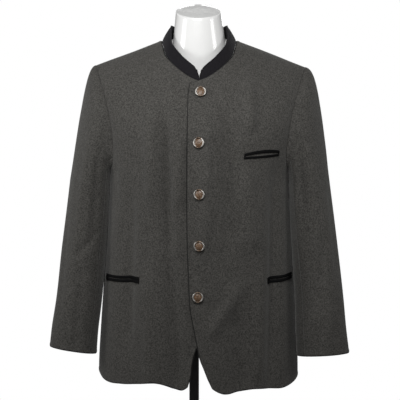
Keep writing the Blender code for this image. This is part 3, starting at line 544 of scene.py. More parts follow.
def fold_sum(table, across, height, scale=1.0):
    """Sum of soft ridges and troughs at the given places of the front view or of a sleeve."""
    total = np.zeros(np.broadcast(across, height).shape)
    for a0, z0, a1, z1, width, depth in table[1:]:
        da = (a1 - a0) * scale
        dz = z1 - z0
        length = math.hypot(da, dz)
        pa = (across - a0) * scale
        pz = height - z0
        along = (pa * da + pz * dz) / length**2
        beside = (pa * dz - pz * da) / length
        fade = ease((along + 0.10) / 0.30) * ease((1.10 - along) / 0.30)
        total = total + depth * fade * np.exp(-((beside / width) ** 2))
    return total


def shoulder_shift(across, height):
    """How far the shoulders lie towards the wearer's left on the form."""
    return SHOULDER_SHIFT * ease((np.abs(across) - 0.09) / 0.10) * ease((height - 0.70) / 0.15)


def shoulder_drop(across, height):
    """How far the shoulder ends lie lower on the wearer's left and higher on the right."""
    return SHOULDER_TILT * ease((np.abs(across) - 0.12) / 0.10) * ease((height - 0.80) / 0.14)


def angle_at(across, height):
    """Angle round the body whose point lies at this distance from the centre line."""
    share = np.clip(np.abs(across) / read(BODY_SECTIONS, "half_width", height), 0.0, 1.0)
    return np.sign(across) * np.arcsin(share ** (read(BODY_SECTIONS, "squareness", height) / 2))


def body_point(angle, height, face):
    """Place of the cloth's outer side at one angle and height."""
    power = 2 / read(BODY_SECTIONS, "squareness", height)
    sine = np.sin(angle)
    x = read(BODY_SECTIONS, "half_width", height) * np.sign(sine) * np.abs(sine) ** power
    turn = -1.0 if face == "front" else 1.0
    y = turn * read(BODY_SECTIONS, face, height) * np.maximum(np.cos(angle), 0.0) ** power
    across = ease((np.abs(x) - NECK_POINT[0]) / (SHOULDER_POINT - NECK_POINT[0]))
    reach = SHOULDER_ROUND[0] + (SHOULDER_ROUND[1] - SHOULDER_ROUND[0]) * across
    drop = np.clip((shoulder_height(x) - height) / reach, 0.0, 1.0)
    y = SHOULDER_SEAM_Y + (y - SHOULDER_SEAM_Y) * (1 - (1 - drop) ** 2) ** (1 / 1.5)
    return x, y


def border(angle, height, face, segments=None):
    """Points of a panel's border, at equal steps if a number of segments is given."""
    x, y = body_point(angle, height, face)
    line = np.stack([angle, height, x, y, height], axis=1)
    if segments is None:
        return line
    travel = np.concatenate(([0.0], np.cumsum(np.linalg.norm(np.diff(line[:, 2:], axis=0), axis=1))))
    wanted = np.linspace(0.0, travel[-1], segments + 1)
    return np.stack([np.interp(wanted, travel, line[:, k]) for k in range(5)], axis=1)


def armhole_border(face, segments):
    """Armhole from the shoulder point down to the underarm."""
    top = float(shoulder_height(SHOULDER_POINT))
    top_angle = math.degrees(float(angle_at(SHOULDER_POINT, top)))
    full = ARMHOLE + ((ARMHOLE_TOP_STEP, top, top_angle, top_angle),)
    step = np.linspace(ARMHOLE_TOP_STEP, 0.0, 400)
    angle = np.radians(read(full, face + "_angle", step))
    return border(angle, read(full, "height", step), face, segments)


def hem_border(hem, face):
    """Hem of a panel from its inner corner to the side seam."""
    inner = hem[1][0] if face == "front" else 0.0
    last = hem[-1][1]
    angle = np.linspace(float(angle_at(inner, hem[1][1])), math.pi / 2, 600)
    height = np.full_like(angle, last)
    for _ in range(4):
        x, _ = body_point(angle, height, face)
        if face == "front":
            height = read(hem, "height", np.clip(x, inner, hem[-1][0]))
            height = height + (last - height) * ease((angle - 1.2) / 0.37)
        else:
            height = last - BACK_HEM_DIP * np.cos(angle) ** 2
    return border(angle, height, face, BODY_COLUMNS)


def places_along(count):
    """Every place along a border, with a few more lines close to each end."""
    near = np.array(EDGE_LINES)
    return np.concatenate([[0.0], near, np.arange(1.0, count), count - near[::-1], [float(count)]])


def normals_of(points):
    """Unit normals of a grid of points."""
    cross = np.cross(np.gradient(points, axis=1), np.gradient(points, axis=0))
    return cross / np.maximum(np.linalg.norm(cross, axis=2), 1e-12)[:, :, None]


def lengths_of(points):
    """Distance of each point from the first column and from the first row, along the cloth."""
    across = np.linalg.norm(np.diff(points, axis=1), axis=2)
    along = np.linalg.norm(np.diff(points, axis=0), axis=2)
    across = np.concatenate([np.zeros((len(points), 1)), np.cumsum(across, axis=1)], axis=1)
    along = np.concatenate([np.zeros((1, points.shape[1])), np.cumsum(along, axis=0)], axis=0)
    return across, along


def edge_form(distance, roll, dip):
    """Form of the cloth's outer side near an edge: a soft roll and a rounded rim."""
    swell = roll * np.exp(-(((distance - ROLL_FROM_EDGE) / ROLL_WIDTH) ** 2))
    return swell - dip * np.exp(-((distance / RIM_WIDTH) ** 2))


def panel(side, face, hem, edge, neckline):
    """Points of one body panel: rows from the hem up, columns from the inner edge out."""
    neck_rows = FRONT_NECK_ROWS if face == "front" else BACK_NECK_ROWS
    corner = hem[1][1] if face == "front" else hem[-1][1] - BACK_HEM_DIP
    low = np.linspace(corner, UNDERARM, SIDE_ROWS + 1)
    high = np.linspace(UNDERARM, neckline[1][1], ARM_ROWS - neck_rows + 1)[1:]
    height = np.concatenate([low, high])
    angle = angle_at(read(edge, "across", height), height) if edge else np.zeros_like(height)
    across = np.linspace(neckline[1][0], NECK_POINT[0], 300)
    neck_height = read(neckline, "height", across)
    neck = border(angle_at(across, neck_height), neck_height, face, neck_rows)
    inner = np.concatenate([border(angle, height, face), neck[1:]])
    height = np.linspace(hem[-1][1], UNDERARM, SIDE_ROWS + 1)
    seam = border(np.full_like(height, math.pi / 2), height, face)
    outer = np.concatenate([seam, armhole_border(face, ARM_ROWS)[::-1][1:]])
    bottom_line = hem_border(hem, face)
    across = np.linspace(NECK_POINT[0], SHOULDER_POINT, 200)
    height = shoulder_height(across)
    top_line = border(angle_at(across, height), height, face, BODY_COLUMNS)

    count = len(inner) - 1
    rows = places_along(count)
    columns = places_along(BODY_COLUMNS)
    u = (columns / BODY_COLUMNS)[None, :]
    level = (inner[:, 1] + outer[:, 1]) / 2
    level = (level - level[0]) / (level[-1] - level[0])
    v = np.interp(rows, np.arange(count + 1), level)[:, None]
    blended = []
    for k in (0, 1):
        bottom = np.interp(columns, np.arange(BODY_COLUMNS + 1), bottom_line[:, k])[None, :]
        top = np.interp(columns, np.arange(BODY_COLUMNS + 1), top_line[:, k])[None, :]
        left = np.interp(rows, np.arange(count + 1), inner[:, k])[:, None]
        right = np.interp(rows, np.arange(count + 1), outer[:, k])[:, None]
        corners = (1 - v) * ((1 - u) * bottom_line[0, k] + u * bottom_line[-1, k])
        corners = corners + v * ((1 - u) * top_line[0, k] + u * top_line[-1, k])
        blended.append((1 - v) * bottom + v * top + (1 - u) * left + u * right - corners)
    angle, height = blended
    x, y = body_point(angle, height, face)
    near_side = ease((BODY_COLUMNS - columns[None, :]) / (BODY_COLUMNS * FLAT_SIDE_SHARE))
    near_top = ease((count - rows[:, None]) / (count * FLAT_TOP_SHARE))
    folds = FRONT_FOLDS if face == "front" else BACK_FOLDS
    creases = FRONT_CREASES if face == "front" else BACK_CREASES
    push = fold_sum(folds, x * side, height) + fold_sum(creases, x * side, height)
    push = push * near_side * near_top
    turn = -1.0 if face == "front" else 1.0
    shift = read(BODY_SECTIONS, "sway", height) + shoulder_shift(x, height)
    drop = shoulder_drop(x, height) * side
    x = x * side + push * np.sin(angle) * side + shift
    y = y + turn * push * np.cos(angle) + turn * SEAM_GAP / 2
    points = np.stack([x, y, height - drop], axis=2)
    if face == "front" and side < 0:
        share = ease((points[:, :, 0] - UNDERLAP[0]) / (UNDERLAP[1] - UNDERLAP[0]))
        points[:, :, 1] += UNDERLAP[2] * share
    if face == "back":
        at_seam = ease(1 - columns[None, :] / (BODY_COLUMNS * CENTRE_SEAM_SHARE))
        points[:, :, 0] += at_seam * SEAM_GAP / 2 * side

    across, along = lengths_of(points)
    outward = normals_of(points) * side * -turn
    front_edge = 0.0007 if face == "front" else 0.0
    form = edge_form(across, front_edge, 0.0008)
    form = form + edge_form(across[:, -1:] - across, 0.0, 0.0002)
    form = form + edge_form(along, 0.0006, 0.0008)
    form = form + edge_form(along[-1:] - along, 0.0, 0.0004)
    points = points + outward * form[:, :, None]
    return points


def give_wall(piece, wall):
    """Smooth shading, and a wall of this thickness inward."""
    piece.data.shade_smooth()
    thickness = piece.modifiers.new("wall", "SOLIDIFY")
    thickness.thickness = wall
    thickness.offset = -1.0


def cloth_piece(name, points, wall, finish, replaced, flip, edge=None):
    """A cloth wall on a grid of points. edge is the distance of each point from the free edge."""
    across, along = lengths_of(points)
    edge = np.minimum(np.full_like(across, EDGE_REACH) if edge is None else edge, EDGE_REACH)
    maps = {"cloth": np.stack([across, along], axis=2), "edge": np.stack([edge, edge], axis=2)}
    bm = grid_mesh(points, maps)
    if flip:
        bmesh.ops.reverse_faces(bm, faces=bm.faces)
    piece = finished(name, bm, finish, replaced, smooth=False)
    give_wall(piece, wall)
    return piece


loden, shader, place = new_finish(
    "milled_wool", Roughness=0.95, Sheen_Weight=0.22, Sheen_Roughness=0.45, Specular_IOR_Level=0.18
)
shader.inputs["Sheen Tint"].default_value = (0.82, 0.82, 0.80, 1.0)
nap = place.noise(1150.0, 2.0, 0.6)
fleck = place.noise(520.0, 3.0, 0.65)
mottle = place.noise(300.0, 3.0, 0.6)
cloud = place.noise(30.0, 3.0, 0.55)
mixed = fleck.ramp(0.41, 0.59) * 0.46 + mottle.ramp(0.39, 0.61) * 0.38 + cloud * 0.16
wool_colour = mixed.blend((0.0200, 0.0190, 0.0172), (0.1030, 0.0992, 0.0915))
# Within about 3 mm of a free edge the wool's colour goes to near black: painted shade standing in
# for the shadow under the edge.
edge_place = place.node("ShaderNodeUVMap", {"uv_map": "edge"}, {})
from_edge = place.node("ShaderNodeSeparateXYZ", {}, {0: edge_place})
painted_edge_shade = 1 - from_edge.ramp(0.0014, 0.0034)
plug(
    shader,
    Base_Color=painted_edge_shade.blend(wool_colour, (0.010, 0.0095, 0.009)),
    Roughness=fleck * 0.08 + 0.88,
    Height=(nap * 0.5 + fleck * 0.6 + mottle * 0.5, 0.55, 0.0010),
)

panels = {}
for side, word, hem in ((1, "left", LEFT_HEM), (-1, "right", RIGHT_HEM)):
    edge = LEFT_EDGE if side > 0 else RIGHT_EDGE
    points = panel(side, "front", hem, edge, FRONT_NECKLINE)
    name, node = word + "_front", "front_" + word
    free = np.minimum(*lengths_of(points))
    panels[name] = cloth_piece(name, points, BODY_WALL, loden, [node], side < 0, free)
    points = panel(side, "back", hem, None, BACK_NECKLINE)
    name, node = word + "_back", "back_" + word
    free = lengths_of(points)[1]
    panels[name] = cloth_piece(name, points, BODY_WALL, loden, [node], side > 0, free)

# Each sleeve is cut in two, an upper and an under sleeve, and sewn along two curved seams.
# Its head is set into the armhole over a thin shoulder pad, so that the shoulder ends crisply.
# The sleeves hang free, bent a little forward at the elbow, and end in plain turned cuffs.
RIGHT_SLEEVE = (
    ("height", "out", "y", "half_width", "half_depth", "lean", "rise"),
    (0.3268, 0.2808, -0.060, 0.0521, 0.0430, 8.0, 0.165),
    (0.3690, 0.2770, -0.056, 0.0514, 0.0455, 8.0, 0.13),
    (0.4360, 0.2676, -0.049, 0.0504, 0.0500, 8.0, 0.10),
    (0.5470, 0.2563, -0.034, 0.0494, 0.0580, 9.0, 0.10),
    (0.6570, 0.2457, -0.016, 0.0463, 0.0680, 10.0, 0.09),
    (0.7000, 0.2422, -0.009, 0.0448, 0.0745, 10.0, 0.08),
)
LEFT_SLEEVE = (
    ("height", "out", "y", "half_width", "half_depth", "lean", "rise"),
    (0.3214, 0.2744, -0.078, 0.0579, 0.0430, 8.0, 0.07),
    (0.3740, 0.2694, -0.073, 0.0562, 0.0465, 8.0, 0.08),
    (0.4400, 0.2656, -0.064, 0.0538, 0.0500, 8.0, 0.09),
    (0.5500, 0.2562, -0.044, 0.0510, 0.0580, 9.0, 0.10),
    (0.6570, 0.2467, -0.020, 0.0480, 0.0680, 10.0, 0.09),
    (0.7000, 0.2432, -0.010, 0.0462, 0.0745, 10.0, 0.08),
)
RIGHT_SLEEVE_FOLDS = (
    ("a0", "z0", "a1", "z1", "width", "height"),
    (62.0, 0.850, 60.0, 0.500, 0.0108, 0.0037),
    (95.0, 0.800, 100.0, 0.560, 0.0126, -0.0042),
    (84.0, 0.520, 92.0, 0.330, 0.0144, -0.0037),
    (120.0, 0.600, 60.0, 0.540, 0.0099, -0.0030),
    (20.0, 0.640, 35.0, 0.400, 0.0144, -0.0030),
    (-60.0, 0.620, -120.0, 0.560, 0.0108, -0.0037),
    (-80.0, 0.760, -95.0, 0.430, 0.0144, -0.0037),
)
LEFT_SLEEVE_FOLDS = (
    ("a0", "z0", "a1", "z1", "width", "height"),
    (120.0, 0.840, 124.0, 0.520, 0.0108, 0.0035),
    (96.0, 0.820, 100.0, 0.640, 0.0117, -0.0045),
    (50.0, 0.600, 98.0, 0.430, 0.0126, -0.0040),
    (60.0, 0.480, 70.0, 0.330, 0.0144, 0.0030),
    (15.0, 0.700, 30.0, 0.500, 0.0144, -0.0030),
    (-60.0, 0.620, -120.0, 0.570, 0.0108, -0.0037),
    (-85.0, 0.770, -98.0, 0.450, 0.0144, -0.0037),
)
SLEEVE_CREASES = (
    ("a0", "z0", "a1", "z1", "width", "height"),
    (40.0, 0.700, 80.0, 0.650, 0.008, -0.0007),
    (100.0, 0.500, 50.0, 0.455, 0.007, 0.0007),
    (-30.0, 0.560, -90.0, 0.520, 0.008, -0.0010),
    (-40.0, 0.500, -100.0, 0.480, 0.008, 0.0008),
    (0.0, 0.860, 8.0, 0.740, 0.010, 0.0007),
    (-50.0, 0.850, -60.0, 0.700, 0.010, -0.0009),
    (30.0, 0.440, 44.0, 0.350, 0.010, 0.0007),
)
SLEEVE_WALL = 0.0022
SLEEVE_PITCH = 0.13
CAP_GAP = 0.0002
UNDERARM_GAP = 0.0006
CAP_OUT = 0.0168
CAP_OUT_SHIFT = 0.0088
CAP_RISE = -0.0034
SLEEVE_CLEARANCE = 0.0009
PRESS_TOP = 0.740
RING_STEP = 2
SEAM_ANGLE = 130
CAP_FALL = 0.94
CAP_DEEPER = 1.04
CAP_START = 0.90
CAP_END = 0.17
SLEEVE_RADIUS = 0.06
CREASE_TURN = {1: 6, -1: -4}


def sleeve_section(table, height, angle):
    """Place on the sleeve tube, angle 0 outward and 90 degrees to the front."""
    lean = np.radians(read(table, "lean", height))
    wide = read(table, "half_width", height) * np.cos(angle)
    deep = -read(table, "half_depth", height) * np.sin(angle)
    out = wide * np.cos(lean) + deep * np.sin(lean)
    y = read(table, "y", height) + deep * np.cos(lean) - wide * np.sin(lean)
    z = height + read(table, "rise", height) * out - SLEEVE_PITCH * (y - read(table, "y", height))
    return np.stack([read(table, "out", height) + out, y, z], axis=1)


def clear_of_body(grid, side):
    """The sleeve tube pressed flat where it would run into the body."""
    x, y, z = grid[:, :, 0], grid[:, :, 1], grid[:, :, 2]
    power = read(BODY_SECTIONS, "squareness", z)
    deep = np.where(y < 0, read(BODY_SECTIONS, "front", z), read(BODY_SECTIONS, "back", z))
    room = np.maximum(1 - (np.abs(y) / deep) ** power, 0.0) ** (1 / power)
    shift = read(BODY_SECTIONS, "sway", z) + shoulder_shift(x, z)
    limit = read(BODY_SECTIONS, "half_width", z) * room + shift * side
    grid[:, :, 0] = np.where(z < PRESS_TOP, np.maximum(x, limit + SLEEVE_CLEARANCE), x)
    return grid


def sleeve(side, table, folds):
    """Points of the whole sleeve tube: rows from the armhole to the cuff."""
    count = 360 // RING_STEP
    front = armhole_border("front", count // 2)[:, 2:]
    back = armhole_border("back", count // 2)[:, 2:]
    start = np.concatenate([front, back[::-1][1:-1]])
    angle = np.arange(count) * 2 * math.pi / count
    top = table[-1][0]
    base = sleeve_section(table, top, angle)
    upward = base - sleeve_section(table, top - 0.05, angle)
    upward = upward / upward[:, 2:3]
    drop = shoulder_drop(start[:, 0], start[:, 2]) * side
    start[:, 0] += shoulder_shift(start[:, 0], start[:, 2]) * side
    start[:, 2] -= drop
    start[:, 0] += CAP_GAP + UNDERARM_GAP * np.clip(-np.cos(angle), 0.0, 1.0)
    turn = base + upward * ((start[:, 2] - base[:, 2]) * CAP_FALL)[:, None]
    turn[:, 1] = 0.5 * (start[:, 1] + base[:, 1]) * CAP_DEEPER
    topness = np.clip(np.cos(angle), 0.0, 1.0) ** 2
    out = CAP_OUT + CAP_OUT_SHIFT * side
    turn[:, 0] += (start[:, 0] + out - turn[:, 0]) * topness * 0.5
    turn[:, 2] += (start[:, 2] + CAP_RISE - turn[:, 2]) * topness
    first = start + (turn - start) * CAP_START
    second = turn + (base - turn) * CAP_END
    cap = np.concatenate([[0.0, 0.003, 0.008, 0.016], np.linspace(0.026, 0.985, 54)])
    rows = np.concatenate([np.linspace(0.0, 0.985, 110), [0.9915, 0.9955, 0.9985, 1.0]])
    grid = []
    for t in cap:
        near = (1 - t) ** 3 * start + 3 * (1 - t) ** 2 * t * first
        grid.append(near + 3 * (1 - t) * t**2 * second + t**3 * base)
    for share in rows:
        grid.append(sleeve_section(table, top + (table[1][0] - top) * share, angle))
    grid = np.array(grid)
    degrees = np.degrees(np.where(angle > math.pi, angle - 2 * math.pi, angle))[None, :]
    scale = SLEEVE_RADIUS * math.pi / 180
    push = fold_sum(folds, degrees, grid[:, :, 2], scale)
    push = push + fold_sum(SLEEVE_CREASES, degrees + CREASE_TURN[side], grid[:, :, 2], scale)
    push = push * np.concatenate([cap**1.5, np.ones(len(rows))])[:, None]
    grid[:, :, 0] += push * np.cos(angle)
    grid[:, :, 1] -= push * np.sin(angle)
    grid = clear_of_body(grid, side)
    grid[:, :, 0] *= side
    return grid


def sleeve_form(points, side):
    """Seam valleys at the sides and the head, and the rolled edge of the cuff."""
    across, along = lengths_of(points)
    form = edge_form(across, 0.0, 0.0002) + edge_form(across[:, -1:] - across, 0.0, 0.0002)
    form = form + edge_form(along, 0.0, 0.0002) + edge_form(along[-1:] - along, 0.0006, 0.0008)
    return points + normals_of(points) * side * form[:, :, None]


for side, word, table, folds in (
    (1, "left", LEFT_SLEEVE, LEFT_SLEEVE_FOLDS),
    (-1, "right", RIGHT_SLEEVE, RIGHT_SLEEVE_FOLDS),
):
    tube = sleeve(side, table, folds)
    seam = SEAM_ANGLE // RING_STEP
    count = tube.shape[1]
    upper = np.stack([tube[:, k % count] for k in range(-seam, seam + 1)], axis=1)
    under = tube[:, seam : count - seam + 1].copy()
    for part_word, points, width, area in (
        ("upper", upper, 0.29, 0.149),
        ("under", under, 0.12, 0.043),
    ):
        for column, inner in ((0, 1), (-1, -2)):
            step = points[:, inner] - points[:, column]
            step = step / np.linalg.norm(step, axis=1)[:, None]
            points[:, column] = points[:, column] + step * SEAM_GAP * 0.25
        points = sleeve_form(points, side)
        node = "sleeve_" + word + "_" + part_word
        name = word + "_" + part_word + "_sleeve"
        along = lengths_of(points)[1]
        free = along[-1:] - along
        piece = cloth_piece(name, points, SLEEVE_WALL, loden, [node], side < 0, free)

# The stand collar is one band of black wool felt, cut with the grain and sewn to the neck edge.
# It is stiffened, leans in a little towards the neck and is highest at the centre back.
# Its ends are rounded and meet at the centre front in a small notch.
COLLAR = (
    ("along", "tall", "lean_in"),
    (0.00, 0.0200, 0.012),
    (0.06, 0.0245, 0.013),
    (0.18, 0.0255, 0.0135),
    (0.40, 0.0265, 0.0135),
    (0.56, 0.0312, 0.0185),
    (0.66, 0.0342, 0.0195),
    (1.00, 0.0440, 0.010),
)
COLLAR_WALL = 0.0028
COLLAR_END_GAP = 0.0009
COLLAR_END_ROUND = 0.0045
COLLAR_LIFT = 0.0003
COLLAR_SET_IN = 0.0012

across = np.linspace(0.0, NECK_POINT[0], 200)
height = read(FRONT_NECKLINE, "height", across)
x, y = body_point(angle_at(across, height), height, "front")
path = [np.stack([x, y, height], axis=1)]
across = np.linspace(NECK_POINT[0], 0.0, 200)[1:]
height = read(BACK_NECKLINE, "height", across)
x, y = body_point(angle_at(across, height), height, "back")
path = np.concatenate(path + [np.stack([x, y, height], axis=1)])
travel = np.concatenate(([0.0], np.cumsum(np.linalg.norm(np.diff(path, axis=0), axis=1))))
shares = np.concatenate([[0.0, 0.003, 0.007, 0.012], np.linspace(0.018, 1.0, 110)])
rises = np.concatenate([[-0.06, 0.0, 0.02, 0.05], np.linspace(0.09, 0.91, 14), [0.95, 0.98, 1.0]])
half = np.stack([np.interp(shares, travel / travel[-1], path[:, k]) for k in range(3)], axis=1)
inward = half * np.array([-1.0, -1.0, 0.0])
inward = inward / np.linalg.norm(inward, axis=1)[:, None]
tall = read(COLLAR, "tall", shares)
lean = read(COLLAR, "lean_in", shares)
band = np.zeros((len(rises), len(shares), 3))
for k, share in enumerate(rises):
    band[k] = half + inward * (lean * max(share, 0.0) ** 1.2 + COLLAR_SET_IN * (1 + shares))[:, None]
    band[k, :, 2] = half[:, 2] + share * tall + COLLAR_LIFT
band[:, :, 0] += (COLLAR_END_GAP + COLLAR_END_ROUND * rises[:, None] ** 2) * ease(1 - shares / 0.05)
mirrored = band * np.array([-1.0, 1.0, 1.0])
points = np.concatenate([mirrored, band[:, ::-1][:, 1:]], axis=1)
across, along = lengths_of(points)
form = edge_form(across, 0.0003, 0.0007) + edge_form(across[:, -1:] - across, 0.0003, 0.0007)
form = form + edge_form(along, 0.0, 0.0005) + edge_form(along[-1:] - along, 0.0004, 0.0008)
points = points + normals_of(points) * form[:, :, None]

felt, shader, place = new_finish(
    "black_wool_felt",
    Roughness=0.95,
    Sheen_Weight=0.10,
    Sheen_Roughness=0.5,
    Specular_IOR_Level=0.12,
)
fuzz = place.noise(1500.0, 3.0, 0.6)
patch = place.noise(240.0, 3.0, 0.6)
felted = (fuzz * 0.5 + patch * 0.5).ramp(0.3, 0.7)
plug(
    shader,
    Base_Color=felted.blend((0.0055, 0.0052, 0.0062), (0.0150, 0.0135, 0.0165)),
    Roughness=patch * 0.08 + 0.88,
    Height=(fuzz * 0.7 + patch * 0.5, 0.5, 0.0007),
)
piece = cloth_piece("stand_collar", points, COLLAR_WALL, felt, ["collar"], True)

# Each pocket opens in a slit that is bound with two narrow lips of black wool, a jetted pocket.
# The breast pocket lies on the left front only, and a hip pocket lies on each front.
# The lips are folded strips of fine twill that are stitched down on the front round the slit.
POCKETS = (
    ("node", "panel", "x0", "z0", "x1", "z1", "tall", "slit", "bow"),
    ("breast_pocket", "left_front", 0.0950, 0.7685, 0.1715, 0.7708, 0.0115, 0.10, 0.0055),
    ("pocket_left", "left_front", 0.1475, 0.4955, 0.2030, 0.4970, 0.0145, 0.10, 0.0),
    ("pocket_right", "right_front", -0.1290, 0.4997, -0.2040, 0.4930, 0.0140, 0.10, 0.0),
)
LIP_WALL = 0.0011
LIP_LIFT = 0.0005
LIP_ROUND = 0.0009
LIP_COLUMNS = 96
LIP_ROWS = 9
LIP_END_LINES = (0.0, 0.006, 0.016, 0.030)
LIP_END_SHARE = 0.03
SLIT_REACH = 0.0006
SLIT_ENDS = 0.035
TWILL_TURN = math.radians(52)

bpy.context.view_layer.update()
trees = {}
for name in ("left_front", "right_front"):
    trees[name] = BVHTree.FromObject(panels[name], bpy.context.evaluated_depsgraph_get())


def touch(tree, x, z):
    """Point and outward direction of a front, seen straight from the front."""
    hit, normal, _, _ = tree.ray_cast(Vector((x, -0.5, z)) + CENTRE, Vector((0.0, 1.0, 0.0)))
    return np.array(hit - CENTRE), np.array(normal)


jetting, shader, place = new_finish("black_twill", Roughness=0.85, Specular_IOR_Level=0.10)
cloth_place = Field(place.tree).node("ShaderNodeUVMap", {"uv_map": "cloth"}, {})
turned_place = cloth_place.node("ShaderNodeMapping", {}, {0: cloth_place, 2: (0.0, 0.0, TWILL_TURN)})
twill = cloth_place.node(
    "ShaderNodeTexWave",
    {"wave_type": "BANDS", "bands_direction": "X"},
    {"Vector": turned_place, "Scale": 420.0, "Distortion": 1.2, "Detail": 1.0},
    1,
)
plug(
    shader,
    Base_Color=twill.blend((0.0022, 0.0022, 0.0024), (0.0058, 0.0058, 0.0062)),
    Roughness=twill * 0.12 + 0.76,
    Height=(twill + place.noise(1400.0) * 0.6, 0.4, 0.0004),
)

for node, panel_name, x0, z0, x1, z1, tall, slit, bow in POCKETS[1:]:
    tree = trees[panel_name]
    lip = (1.0 - slit) / 2
    lower = np.linspace(0.0, lip, LIP_ROWS)
    levels = np.concatenate([lower, 1.0 - lower[::-1]])
    bulge = np.sin(np.linspace(0.0, math.pi, LIP_ROWS)) ** 0.7
    bulge = np.concatenate([bulge, bulge[::-1]])
    ends = np.array(LIP_END_LINES)
    shares = np.concatenate([ends, np.linspace(0.04, 0.96, LIP_COLUMNS), 1 - ends[::-1]])
    grid = np.zeros((len(levels), len(shares), 3))
    start, end = float(angle_at(x0, z0)), float(angle_at(x1, z1))
    end_round = np.minimum(1.0, np.minimum(shares, 1 - shares) / LIP_END_SHARE) ** 0.5
    for r, level in enumerate(levels):
        for c, share in enumerate(shares):
            z = z0 + (z1 - z0) * share + tall * (level - 0.5)
            if level > 0.5:
                z += bow * math.sin(math.pi * share) ** 0.8 * (1.0 - 0.35 * (1.0 - level) / lip)
            x, _ = body_point(start + (end - start) * share, z, "front")
            spot, outward = touch(tree, x, z)
            lift = LIP_LIFT + LIP_WALL + LIP_ROUND * bulge[r] * end_round[c]
            grid[r, c] = spot + outward * lift
    across, along = lengths_of(grid)
    bm = grid_mesh(grid, {"cloth": np.stack([across, along], axis=2)})
    open_faces = []
    for face in bm.faces:
        middle = face.calc_center_median()
        r = np.linalg.norm(grid[LIP_ROWS - 1 : LIP_ROWS + 1].mean(axis=0) - np.array(middle), axis=1)
        if r.min() < SLIT_REACH and SLIT_ENDS < shares[int(r.argmin())] < 1 - SLIT_ENDS:
            open_faces.append(face)
    bmesh.ops.delete(bm, geom=open_faces, context="FACES")
    if x1 < x0:
        bmesh.ops.reverse_faces(bm, faces=bm.faces)
    piece = finished(node + "_lips", bm, jetting, [node], smooth=False)
    give_wall(piece, LIP_WALL)

# Five shank buttons close the blazer over the centre front. Each is an aged silver-coloured rim
# with its back and shank, and a brown horn-like centre that is pressed in, with a small rosette.
# They are sewn to the right front, pass through buttonholes and stand just off the left front.
BUTTON_HEIGHTS = (0.9030, 0.7990, 0.6900, 0.5790, 0.4670)
BUTTON_X = (0.0030, 0.0000, 0.0010, 0.0008, -0.0030)
BUTTON_GAP = 0.0003
LEAVES = 8
HORN_RADIUS = 0.0083
HORN_BACK = 0.0045
HORN_RIM = 0.0049
HORN_DOME = 0.0019
RIM_PROFILE = (
    (0.0, 0.0042),
    (0.0086, 0.0042),
    (0.0088, 0.0050),
    (0.0089, 0.0056),
    (0.0092, 0.0061),
    (0.0097, 0.0065),
    (0.0103, 0.0066),
    (0.0109, 0.0064),
    (0.0115, 0.0060),
    (0.0119, 0.0053),
    (0.0120, 0.0046),
    (0.0119, 0.0039),
    (0.0112, 0.0030),
    (0.0080, 0.0027),
    (0.0040, 0.0024),
    (0.0026, 0.0018),
    (0.0024, 0.0004),
    (0.0, 0.0004),
)

old_silver, shader, place = new_finish("old_silver", Metallic=1.0)
stain = place.noise(420.0, 4.0, 0.6)
# The rim is bright silver at its left and right sides and dark brown above and below: a painted
# highlight and painted shade, with a little random tarnish mixed in.
painted_side_highlight = place.node("ShaderNodeAttribute", {"attribute_name": "painted_side_highlight"}, {}, 2)
tarnish_and_painted_highlight = painted_side_highlight * 0.85 + stain.ramp(0.35, 0.62) * 0.15
scratch = place.noise(1900.0, 2.0, 0.7)
plug(
    shader,
    Base_Color=tarnish_and_painted_highlight.blend((0.125, 0.082, 0.052), (0.60, 0.58, 0.55)),
    Roughness=stain * 0.25 + 0.34,
    Height=(scratch, 0.25, 0.0002),
)
horn, shader, place = new_finish("brown_horn", Coat_Weight=0.3, Coat_Roughness=0.2)
streak_place = place.node("ShaderNodeMapping", {}, {0: place, 3: (1.0, 1.0, 3.0)})
streak = streak_place.noise(260.0, 4.0, 0.6)
plug(
    shader,
    Base_Color=streak.ramp(0.36, 0.64).blend((0.060, 0.036, 0.020), (0.205, 0.122, 0.070)),
    Roughness=streak * 0.2 + 0.28,
    Height=(streak, 0.2, 0.0003),
)

